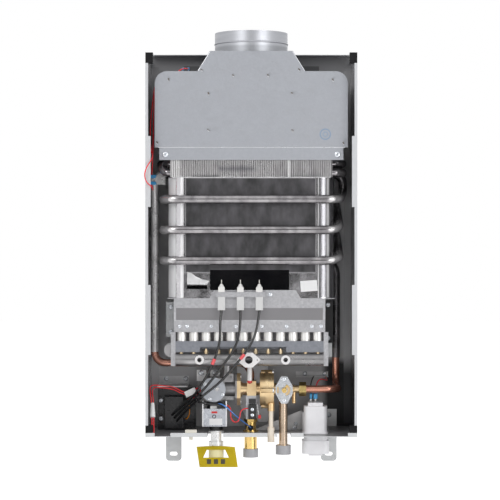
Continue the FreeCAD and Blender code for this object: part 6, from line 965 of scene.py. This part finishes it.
@dataclass
class Exchanger(Assembly):
    """Combustion chamber, fins, tubes and the coil round the chamber."""

    label_turn: float = math.radians(-4.0)
    label_place: Place = mm(93.2, -160.1, 241.9)
    label_size: Place = mm(27.0, 0.2, 17.6)
    finishes: ClassVar[dict[str, Finish]] = {
        "chamber_shell": Paint.shell, "sight_window": Paint.dark_glass, "fin_block": Paint.fins,
        "exchanger_tubes": Paint.tinned_tube, "wrap_coil": Paint.tinned_tube,
        "hot_return_pipe": Paint.return_tube}
    facet_outline: tuple[Span, ...] = (
        (-103.6, 265), (-103.6, 244.5), (-72, 244), (-67.5, 250), (-79, 252.5), (-90, 257.5), (-96, 262))
    facet_face: float = -160.12
    facet_peak: Place = mm(-92, -161.1, 254)
    fold_half: float = 128.0
    fold_y: float = -160.0
    fold_z: float = 417.6
    fold_steps: int = 120
    fold_sides: int = 8
    fold_radius: float = 0.65
    fold_wave: float = 0.8
    fold_wave_rate: float = 0.11
    fold_crumple: float = 0.25
    fold_crumple_rate: float = 0.5

    def build(self) -> None:
        """Adds the plain label on the chamber, its dent with a painted highlight and the fold under the fins.
        """
        label = Label(self.label_size, self.label_place, self.label_turn)
        piece("shell_label", label.mesh(), [Paint.label_white, Paint.label_ink])
        piece("shell_facet", self.facet(), [Paint.shell_facet])
        piece("fin_fold", self.crumpled_edge(), [Paint.fin_edge])

    def facet(self) -> bpy.types.Mesh:
        """The dented corner of the chamber's front beside the vent slot, pale with a painted highlight.

        Returns:
            The mesh.
        """
        form = bmesh.new()
        edge = [form.verts.new(mm(x, self.facet_face, z)) for x, z in self.facet_outline]
        peak = form.verts.new(self.facet_peak)
        for one, two in zip(edge, [*edge[1:], edge[0]]):
            form.faces.new((one, two, peak))
        return mesh_of("shell_facet", form, 80.0)

    def crumpled_edge(self) -> bpy.types.Mesh:
        """The wavy folded edge where the fins meet the chamber.

        Returns:
            The mesh.
        """
        line, radii = [], []
        for step in range(self.fold_steps + 1):
            x = self.fold_half * (2 * step / self.fold_steps - 1)
            wave = self.fold_wave * noise.noise(Vector((x * self.fold_wave_rate, 4.0, 0.0)))
            fine = self.fold_crumple * noise.noise(Vector((x * self.fold_crumple_rate, 9.0, 2.0)))
            line.append(Vector(mm(x, self.fold_y - fine, self.fold_z + wave)))
            radii += mm(self.fold_radius + fine)
        return tube_form(line, radii, self.fold_sides)


@dataclass
class Label:
    """A paper label with plain grey bars, facing the front."""

    size: Place
    place: Place
    turn: float = 0.0
    ink: float = 0.00003
    bars: tuple[tuple[float, float, float, float], ...] = (
        (0.10, 0.72, 0.62, 0.86), (0.10, 0.46, 0.86, 0.54), (0.10, 0.26, 0.74, 0.34),
        (0.70, 0.70, 0.90, 0.88))

    def mesh(self) -> bpy.types.Mesh:
        """The label with its bars a little proud of it.

        Returns:
            The mesh, with the paper in its first material slot and the bars in its second.
        """
        form = bmesh.new()
        long, thick, high = self.size
        bmesh.ops.create_cube(form, size=1.0)
        bmesh.ops.scale(form, vec=self.size, verts=form.verts)
        proud = -thick / 2 - self.ink
        for left, low, right, top in self.bars:
            corners = ((left, low), (right, low), (right, top), (left, top))
            face = form.faces.new([form.verts.new(((x - 0.5) * long, proud, (z - 0.5) * high))
                                   for x, z in corners])
            face.material_index = 1
        form.transform(Matrix.Translation(self.place) @ Matrix.Rotation(self.turn, 4, "Y"))
        mesh = bpy.data.meshes.new("label")
        form.to_mesh(mesh)
        form.free()
        return mesh


@dataclass
class Burner(Assembly):
    """Burner bars and frame, air trough, gas manifold and its nozzles."""

    finishes: ClassVar[dict[str, Finish]] = {
        "burner_frame": Paint.burner_sheet, "burner_bars": Paint.burner_bar, "air_trough": Paint.trough,
        "burner_front_plate": Paint.burner_sheet, "burner_stays": Paint.burner_stay,
        "gas_manifold": Paint.manifold, "gas_nozzles": Paint.nozzle_brass}


@dataclass
class GasValve(Assembly):
    """Gas valve, its inlet pipe and the solenoid."""

    label_size: Place = mm(21.2, 0.2, 10.4)
    label_place: Place = mm(-57.8, -139.1, 20.4)
    finishes: ClassVar[dict[str, Finish]] = {
        "gas_valve_body": Paint.cast_aluminium, "gas_valve_cover": Paint.cover_zinc,
        "gas_spindle": Paint.steel, "gas_inlet_pipe": Paint.gas_pipe,
        "solenoid_frame": Paint.solenoid_zinc, "solenoid_coil": Paint.coil_black,
        "solenoid_plunger": Paint.steel, "gas_inlet_cap": Paint.cap_cream, "gas_tag": Paint.tag}
    bar_middles: tuple[float, ...] = (-69.5, -58.0, -46.5)
    bar_height: float = -47.5
    bar_size: Place = mm(7.0, 0.16, 8.0)
    bar_bevel: float = 0.00005
    tag_face: float = -111.0

    def build(self) -> None:
        """Adds the plain label on the solenoid and the plain bars on the hanging tag."""
        label = Label(self.label_size, self.label_place)
        piece("solenoid_label", label.mesh(), [Paint.label_white, Paint.label_ink])
        bars = [box_form(self.bar_size, mm(x, self.tag_face, self.bar_height), self.bar_bevel)
                for x in self.bar_middles]
        piece("tag_bars", joined("tag_bars", bars), [Paint.tag_ink], "gas_cap")


@dataclass
class WaterValve(Assembly):
    """Water valve with its selector, push rod, micro switch, drain screw and inlets."""

    finishes: ClassVar[dict[str, Finish]] = {
        "water_valve_body": Paint.bronze, "selector_plate": Paint.zinc_plate, "selector_spindle": Paint.brass,
        "membrane_rod": Paint.steel, "micro_switch": Paint.switch_black, "switch_lever": Paint.lever,
        "adjusting_rod": Paint.white_rod, "drain_screw": Paint.drain_ivory, "pipe_nut": Paint.nut_brass,
        "cold_feed_pipe": Paint.copper, "hot_outlet_pipe": Paint.dull_copper, "hot_outlet_tube": Paint.brass,
        "cold_inlet_cap": Paint.cap_grey, "hot_outlet_cap": Paint.cap_grey,
        "temperature_switches": Paint.sensor}


@dataclass
class BatteryBox(Assembly):
    """Battery holder with its cap, cell and contacts."""

    finishes: ClassVar[dict[str, Finish]] = {
        "battery_holder": Paint.light_grey, "battery_cap": Paint.light_grey, "battery_cell": Paint.cell,
        "battery_contacts": Paint.steel}


@dataclass
class Cord:
    """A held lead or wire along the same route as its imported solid, in millimetres."""

    name: str
    finish: Finish
    diameter: float
    route: tuple[Place, ...]

    def curve(self, bevel: bool = True) -> bpy.types.Curve:
        """The route as one smooth spline.

        Args:
            bevel: Whether it has its thickness.

        Returns:
            The curve.
        """
        made = bpy.data.curves.new(self.name, "CURVE")
        made.dimensions = "3D"
        made.resolution_u = 12
        made.use_fill_caps = True
        made.bevel_resolution = 4
        made.bevel_depth = mm(self.diameter / 2)[0] if bevel else 0.0
        spline = made.splines.new("NURBS")
        spline.points.add(len(self.route) - 1)
        for point, place in zip(spline.points, self.route):
            point.co = (*mm(*place), 1.0)
        spline.order_u = 3
        spline.use_endpoint_u = True
        return made

    def line(self) -> list[Vector]:
        """Points that the spline itself gives, for what sits along the cord.

        Returns:
            The points, from the route's first end.
        """
        bare = placed("line", self.curve(bevel=False))
        mesh = plain_mesh(bare)
        points = [vertex.co.copy() for vertex in mesh.vertices]
        bpy.data.objects.remove(bare)
        bpy.data.meshes.remove(mesh)
        return points

    def stretch(self, near: Place, half: float) -> list[Vector]:
        """The part of the cord's line within a distance of a place.

        Args:
            near: A place close to the cord, in millimetres.
            half: How far to go each way, in millimetres.

        Returns:
            Points along that part.
        """
        line = self.line()
        target = Vector(mm(*near))
        middle = min(range(len(line)), key=lambda i: (line[i] - target).length)
        total = [0.0]
        for one, two in zip(line, line[1:]):
            total.append(total[-1] + (two - one).length)
        low, high = total[middle] - mm(half)[0], total[middle] + mm(half)[0]
        ends = [self.at(line, total, place) for place in (low, high)]
        return [ends[0], *[p for p, t in zip(line, total) if low < t < high], ends[1]]

    @staticmethod
    def at(line: list[Vector], total: list[float], place: float) -> Vector:
        """The point at a length along the line.

        Args:
            line: Points of the line.
            total: The length up to each point.
            place: The length asked for.

        Returns:
            The point.
        """
        index = max(1, next((i for i, t in enumerate(total) if t >= place), len(total) - 1))
        share = (place - total[index - 1]) / (total[index] - total[index - 1])
        return line[index - 1].lerp(line[index], share)


LEADS = (
    Cord("lead_left", Paint.lead_black, 4.0, (
        (-48.1, -167, 203), (-50.6, -171.5, 184), (-49.6, -173, 158.3), (-55.1, -173, 134),
        (-67.6, -168, 104.2), (-88.8, -150.5, 67.2), (-111.8, -120, 46.2), (-131, -88, 27.4))),
    Cord("lead_middle", Paint.lead_black, 4.0, (
        (-17.6, -167, 203), (-17.2, -172, 176), (-24.5, -174, 143.9), (-45.2, -173, 114.5),
        (-66.5, -161, 86.5), (-86.6, -150.5, 63), (-109.4, -120, 41.6), (-127, -88, 22.4))),
    Cord("lead_right", Paint.lead_black, 4.0, (
        (12.9, -167, 203), (10.1, -172, 171.2), (-5.2, -175, 139.1), (-27.1, -174, 113), (-46.4, -166, 90.2),
        (-65.5, -159.5, 74), (-84.4, -150.5, 58.8), (-107, -120, 36.9), (-123, -88, 17.4))),
)
WIRES = (
    Cord("wire_overheat_long", Paint.wire_red, 1.8, (
        (-113.6, -100, 598.4), (-117.2, -100.3, 597.4), (-121.5, -101.5, 592.5), (-130, -104.5, 587),
        (-143, -109.5, 584), (-153.5, -114.5, 578), (-159, -118, 565), (-160.5, -119.5, 548),
        (-164.5, -128, 513), (-164.5, -142, 473), (-160.5, -163, 456),
        (-158.6, -178, 450.5), (-160.5, -188.5, 443.5), (-168, -191, 432.5), (-171.5, -190.5, 420),
        (-168, -190, 408), (-160.5, -188, 402.5), (-158.8, -178, 398.5), (-159, -160, 396.5),
        (-160, -142, 398.5), (-161.5, -129, 402.5), (-163.2, -121.5, 407.6))),
    Cord("wire_overheat_short", Paint.wire_red, 1.8, (
        (-103.5, -102.8, 598.4), (-105, -107, 598.6), (-113, -108.5, 598), (-119, -109, 593.5),
        (-128, -110.5, 588.5), (-142, -115, 585), (-151.5, -119.5, 578.5), (-157, -123.5, 564),
        (-158.8, -125, 545), (-160, -126, 500), (-161, -125, 446), (-163, -120.5, 423.1))),
    Cord("valve_cable", Paint.lead_black, 2.88, (
        (-103, -79, 47), (-104, -100, 55), (-98, -127, 56.5), (-82, -143.5, 51.5), (-61, -147, 49),
        (-46, -139, 45))),
    Cord("wire_outlet_sensor", Paint.wire_blue, 1.8, (
        (-53, -139, 50), (-50, -145.5, 50.5), (-41, -147, 45.5), (-30, -144, 35), (-20, -138, 25.5),
        (-11, -129, 18), (-4.5, -120, 12.5), (-1, -111.4, 8.4))),
    Cord("wire_switch_loop", Paint.wire_red, 1.8, (
        (-39.8, -130, 47), (-33.5, -135.5, 43.5), (-33.5, -140.5, 35.5), (-33.5, -142.5, 27),
        (-28.5, -143.5, 20), (-21.5, -143, 20.5), (-18.5, -142, 28), (-18, -140, 36.5), (-12, -138, 42),
        (-5, -137, 42))),
    Cord("wire_battery_plus", Paint.wire_red, 1.8, (
        (105.6, -106, 64.2), (106.2, -104.5, 78), (113, -97, 88), (124.5, -84, 84.5), (127.5, -60, 82.5),
        (126, -17, 85.7))),
    Cord("wire_battery_minus", Paint.lead_black, 1.8, (
        (98, -106, 64.2), (97.2, -104.8, 79), (101.5, -97, 90), (105.5, -70, 91), (104, -17, 85.7))),
    Cord("wire_case_first", Paint.wire_red, 1.8, (
        (-160.2, -167, 1.4), (-160.6, -164.5, 30), (-161.6, -157, 57), (-165.5, -141, 72), (-164, -124, 79.5),
        (-148, -110, 77.5), (-128, -104, 75), (-116, -104, 68), (-106, -104.5, 64.5), (-94, -104, 70),
        (-85, -100, 74), (-83, -92, 67), (-89, -84, 58), (-101.5, -76.5, 51.7))),
    Cord("wire_case_second", Paint.wire_red, 1.8, (
        (-157, -167, 1.4), (-157.6, -163.5, 31), (-158.4, -154.5, 55.5), (-161.5, -139, 69),
        (-160, -121.5, 75.3), (-147, -107, 73.5), (-128.5, -101.5, 71), (-117, -101, 64.5),
        (-106, -101.5, 61.2), (-93.5, -101, 66.5), (-87.5, -97, 68), (-88, -89, 61.5), (-94, -82.5, 55),
        (-105.5, -76.5, 51.7))),
    Cord("wire_control_loop", Paint.wire_orange, 1.8, (
        (-103, -79, 42), (-102.6, -86.5, 41.5), (-101.8, -92.5, 37), (-101.8, -95, 30), (-104.2, -93.5, 23.5),
        (-108, -88.5, 20), (-109.6, -81, 20))),
)


@dataclass
class Ignition(Assembly):
    """Electrodes with their leads, markers and tie."""

    finishes: ClassVar[dict[str, Finish]] = {"electrodes": Paint.ceramic}
    markers: tuple[tuple[str, int, Place], ...] = (
        ("marker_left", 0, (-60.4, -171, 121)), ("marker_right", 2, (-13.6, -174.8, 128.5)))
    marker_radius: float = 2.75
    marker_half: float = 5.0
    marker_end: float = 0.93
    tie_place: Place = mm(-86.6, -149.6, 63)
    tie_inner: float = 6.5
    tie_outer: float = 7.4
    tie_half: float = 1.5
    tie_round: float = 0.2

    def build(self) -> None:
        """Adds the leads and what sits on them."""
        for index, lead in enumerate(LEADS):
            stands_for = ("ignition_leads",) if index == 0 else ()
            piece(lead.name, lead.curve(), [lead.finish], stands_for=stands_for)
        for name, index, near in self.markers:
            line = LEADS[index].stretch(near, self.marker_half)
            radius, bore = mm(self.marker_radius, LEADS[index].diameter / 2)
            end = radius * self.marker_end
            radii = [end, *[radius] * (len(line) - 2), end]
            piece(name, tube_form(line, radii, bore=bore), [Paint.sleeve_red])
        heading = (Vector(LEADS[1].route[6]) - Vector(LEADS[1].route[4])).normalized()
        inner, outer, half, soft = mm(self.tie_inner, self.tie_outer, self.tie_half, self.tie_round)
        band = [(inner, -half), (outer - soft, -half), (outer, 1.5 * soft - half), (outer, half - 1.5 * soft),
                (outer - soft, half), (inner, half), (inner, -half)]
        tie = lathe_form(band, Vector(self.tie_place), heading, 40)
        piece("lead_tie", tie, [Paint.black_clip])


@dataclass
class Wiring(Assembly):
    """Low voltage wires with their sleeves and plugs."""

    spades: tuple[tuple[Place, Place], ...] = (
        ((3.8, 5.0, 9.0), (96.1, -108.5, 55.2)), ((6.6, 5.0, 9.0), (102.3, -108.5, 55.2)),
        ((11.5, 4.6, 5.6), (-166.6, -123.0, 417.4)), ((11.5, 4.6, 5.6), (-166.9, -123.0, 406.4)),
        ((3.4, 6.6, 4.8), (-114.2, -103.3, 595.8)), ((3.4, 6.6, 4.8), (-105.2, -103.3, 595.8)))
    spade_bevel: float = 0.0006
    plug_size: Place = mm(19.0, 7.0, 10.0)
    plug_place: Place = mm(-100.0, -102.8, 65.6)
    plug_slant: float = math.radians(-25.0)
    plug_bevel: float = 0.0007
    cone_foot: Place = mm(-159.2, -166.0, 30.0)
    cone_heading: Place = (-0.02, 0.36, 1.0)
    cone_wide: float = 4.6
    cone_thin: float = 2.9
    cone_long: float = 24.0
    cone_foot_round: float = 0.6
    cone_tip_round: float = 0.5

    def build(self) -> None:
        """Adds every wire, the spade sleeves, the white plug and the cone."""
        for index, wire in enumerate(WIRES):
            piece(wire.name, wire.curve(), [wire.finish], stands_for=("wires",) if index == 0 else ())
        sleeves = []
        for size, corner in self.spades:
            middle = tuple(low + length / 2 for low, length in zip(corner, size))
            sleeves.append(box_form(mm(*size), mm(*middle), self.spade_bevel))
        piece("spade_sleeves", joined("spade_sleeves", sleeves), [Paint.sleeve_blue],
              stands_for=("wire_sleeves",))
        turn = Matrix.Rotation(self.plug_slant, 4, "Y")
        plug = box_form(self.plug_size, self.plug_place, self.plug_bevel, turn)
        wide, thin, long = mm(self.cone_wide, self.cone_thin, self.cone_long)
        foot, tip = mm(self.cone_foot_round, self.cone_tip_round)
        outline = [(0.0, 0.0), (wide - foot, 0.0), (wide, foot), (thin, long - tip), (thin - tip, long),
                   (0.0, long)]
        cone = lathe_form(outline, Vector(self.cone_foot), Vector(self.cone_heading))
        piece("wire_plugs", joined("wire_plugs", [plug, cone]), [Paint.plug_white])


@dataclass
class Screws(Assembly):
    """Every exposed pan-head screw: x, y, z under its head in millimetres, and its share of the full size."""

    head_radius: float = 0.004
    head_high: float = 0.0022
    recess: float = 0.0044
    recess_wide: float = 0.0009
    recess_bevel: float = 0.00012
    profile: tuple[Span, ...] = (
        (0.0, 0.0), (1.0, 0.0), (1.0, 0.35), (0.93, 0.68), (0.78, 0.9), (0.5, 1.0), (0.0, 1.0))
    sides: int = 28
    spread: float = 1.2
    slant_step: int = 67
    front: tuple[tuple[float, ...], ...] = (
        (-139, -163, 454.2, 1), (139, -163, 454.2, 1), (-116, -155, 176.25, 0.62), (-104, -155, 176.25, 0.62),
        (-64.7, -155, 176.25, 0.62), (-24.8, -155, 176.25, 0.62), (17, -155, 176.25, 0.62),
        (57, -155, 176.25, 0.62), (98, -155, 176.25, 0.62), (113, -155, 176.25, 0.62),
        (30.5, -162, 228.3, 0.7), (-131.6, -120, 165.5, 0.8), (-131.6, -120, 206.8, 0.8),
        (126.45, -100, 154.7, 0.8), (126.45, -100, 209.6, 0.8), (-144, -2.5, 81.5, 0.9),
        (-111, -2.5, 81.5, 0.9), (91.3, -2.5, 90.1, 0.8), (124.4, -2.5, 90.1, 0.8),
        (-131.7, -2.5, 20, 0.9), (131.7, -2.5, 20, 0.9), (-83, -61.5, 95.1, 1), (-60.5, -61.5, 95.1, 1),
        (-75.9, -134, 81, 0.7), (-46.9, -134, 64, 0.7), (-67.9, -134, 57, 0.7), (53.5, -140, 89.6, 0.75),
        (53.5, -140, 54.4, 0.75), (1.6, -141.1, 31.21, 0.6), (1.6, -141.1, 40.41, 0.6),
        (73.9, -71.5, 11, 0.7), (71.9, -71.5, 5, 0.7), (-149.7, -70, 19.6, 0.8), (-149.7, -70, 49.5, 0.8))
    sideways: tuple[tuple[float, ...], ...] = (
        (34.8, -115, 99.5, 0.9), (34.8, -115, 44.5, 0.9), (34.8, -87.5, 72, 0.9), (34.8, -142.5, 72, 0.9),
        (-17.6, -115, 51, 0.8), (-17.6, -115, 93, 0.8))

    def head(self) -> bpy.types.Object:
        """A pan head with its cross recess, facing +Z.

        Returns:
            The head as an object, for the geometry nodes to place.
        """
        high = self.head_high
        outline = [(self.head_radius * out, high * up) for out, up in self.profile]
        head = placed("screw_head", lathe_form(outline, Vector((0, 0, 0)), Vector((0, 0, 1)), self.sides))
        arms = [box_form((long, wide, high), (0, 0, high), self.recess_bevel) for long, wide in
                ((self.recess, self.recess_wide), (self.recess_wide, self.recess))]
        cross = placed("screw_cross", joined("screw_cross", arms))
        cut = head.modifiers.new("cross", "BOOLEAN")
        cut.object, cut.operation, cut.solver = cross, "DIFFERENCE", "EXACT"
        cut.use_self = True
        mesh = plain_mesh(head)
        head.modifiers.remove(cut)
        bpy.data.objects.remove(cross)
        head.data = mesh
        return head

    def build(self) -> None:
        """Places the heads with geometry nodes."""
        tree = Repeater("screw_heads", {"Head": "Object", "Scale": "Float"})
        shape = tree.kit.add("GeometryNodeObjectInfo", {"Object": tree.given["Head"]})
        tree.scatter(shape.outputs["Geometry"], tree.given["Scale"], Paint.screw_zinc)
        places, turns, sizes = [], [], []
        for axis, rows in (("X", self.front), ("Y", self.sideways)):
            facing = Matrix.Rotation(math.radians(90), 3, axis)
            for *place, size in rows:
                slant = math.radians((len(places) * self.slant_step) % 90)
                places.append(mm(*place))
                turns.append((facing @ Matrix.Rotation(slant, 3, "Z")).to_euler())
                sizes.append(size)
        head = self.head()
        mesh = tree.run(Repeater.marked(places, turns, sizes), {"Head": head, "Scale": self.spread})
        bpy.data.objects.remove(head)
        piece("screw_heads", mesh, [Paint.screw_zinc], stands_for=("screws",))


@dataclass
class Studio:
    """Camera, lamps, floor and the white surroundings."""

    camera_place: Place = (-0.0021, -3.270, 0.300)
    lens: float = 138.5
    sensor: float = 36.0
    fill: float = 0.5
    glow: float = 0.62
    floor_z: float = -0.16
    floor_half: float = 9.0
    card: tuple[Place, ...] = ((-1.1, -4.3, -0.9), (1.1, -4.3, -0.9), (1.1, -4.3, 1.5), (-1.1, -4.3, 1.5))
    lamps: tuple[tuple[str, Place, Place, float, float], ...] = (
        ("key", (-1.5, -2.6, 1.7), (0, -0.1, 0.3), 1.0, 22.0),
        ("fill", (1.8, -2.5, 0.5), (0, -0.1, 0.2), 1.2, 21.0),
        ("front", (0.1, -3.1, 0.1), (0, -0.1, 0.15), 1.0, 15.0),
        ("back", (0.3, 2.4, 1.6), (0, -0.1, 0.3), 1.4, 14.0))

    def camera(self) -> None:
        """The camera at the photograph's viewing angle."""
        data = bpy.data.cameras.new("camera")
        data.lens, data.sensor_width = self.lens, self.sensor
        data.clip_start, data.clip_end = 0.1, 100.0
        made = placed("camera", data)
        made.location = self.camera_place
        made.rotation_euler = (math.radians(90), 0.0, 0.0)
        bpy.context.scene.camera = made

    def lamp(self, name: str, place: Place, aim: Place, size: float, power: float) -> None:
        """A soft square lamp. The front one shows in no reflection.

        Args:
            name: Its name.
            place: Where it stands.
            aim: What it points at.
            size: Its side.
            power: Its power in watts.
        """
        data = bpy.data.lights.new(name, "AREA")
        data.size, data.energy = size, power
        made = placed(name, data)
        made.location = place
        made.rotation_euler = (Vector(aim) - Vector(place)).to_track_quat("-Z", "Y").to_euler()
        made.visible_glossy = name != "front"

    @staticmethod
    def seen(kit: Tree, *rays: str) -> bpy.types.NodeSocket:
        """One on the named kinds of ray, nought on the others."""
        path = kit.add("ShaderNodeLightPath")
        total = 0.0
        for ray in rays:
            total = kit.math("MAXIMUM", total, path.outputs[f"Is {ray} Ray"])
        return total

    def world(self) -> None:
        """White to the eye and in reflections, softer as light."""
        world = bpy.data.worlds.new("studio")
        world.use_nodes = True
        bpy.context.scene.world = world
        kit = Tree(world.node_tree)
        strength = kit.between(self.seen(kit, "Camera", "Glossy", "Transmission"), 0.0, 1.0, self.fill, 1.0)
        kit.feed(world.node_tree.nodes["Background"], {"Color": (1.0, 1.0, 1.0, 1.0), "Strength": strength})

    def sheet(self, name: str, corners: tuple[Place, ...], shade: float, glow: bool) -> bpy.types.Object:
        """A flat stage surface.

        Args:
            name: Its name.
            corners: Its four corners.
            shade: Its grey.
            glow: Whether the camera and reflections see it as white as the world.

        Returns:
            The object.
        """
        mesh = bpy.data.meshes.new(name)
        mesh.from_pydata(list(corners), [], [(0, 1, 2, 3)])
        made = placed(name, mesh)
        material = bpy.data.materials.new(name)
        material.use_nodes = True
        kit = Tree(material.node_tree)
        shader = material.node_tree.nodes["Principled BSDF"]
        kit.feed(shader, {
            "Base Color": (shade, shade, shade, 1.0), "Roughness": 0.9, "Specular IOR Level": 0.0})
        if glow:
            light = kit.math("MULTIPLY", self.seen(kit, "Camera", "Glossy"), self.glow)
            kit.feed(shader, {"Emission Color": (1.0, 1.0, 1.0, 1.0), "Emission Strength": light})
        mesh.materials.append(material)
        return made

    def build(self) -> None:
        """Sets up the whole studio."""
        self.camera()
        self.world()
        half = self.floor_half
        ground = tuple((x * half, y * half, self.floor_z) for x, y in ((-1, -1), (1, -1), (1, 1), (-1, 1)))
        self.sheet("floor", ground, 0.8, True)
        card = self.sheet("dark_card", self.card, 0.05, False)
        card.visible_camera = card.visible_diffuse = card.visible_shadow = False
        for lamp in self.lamps:
            self.lamp(*lamp)


def main() -> None:
    """Builds and dresses the heater, then sets up the studio."""
    logging.basicConfig(level=logging.INFO, format="%(name)s %(message)s")
    bpy.context.scene.view_settings.view_transform = "Standard"
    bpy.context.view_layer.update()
    Studio().build()
    for assembly in (Ignition(), Wiring(), Case(), Hood(), Exchanger(), Burner(), GasValve(), WaterValve(),
                     BatteryBox(), Screws()):
        assembly.dress()
        assembly.build()


if __name__ == "__main__":
    main()
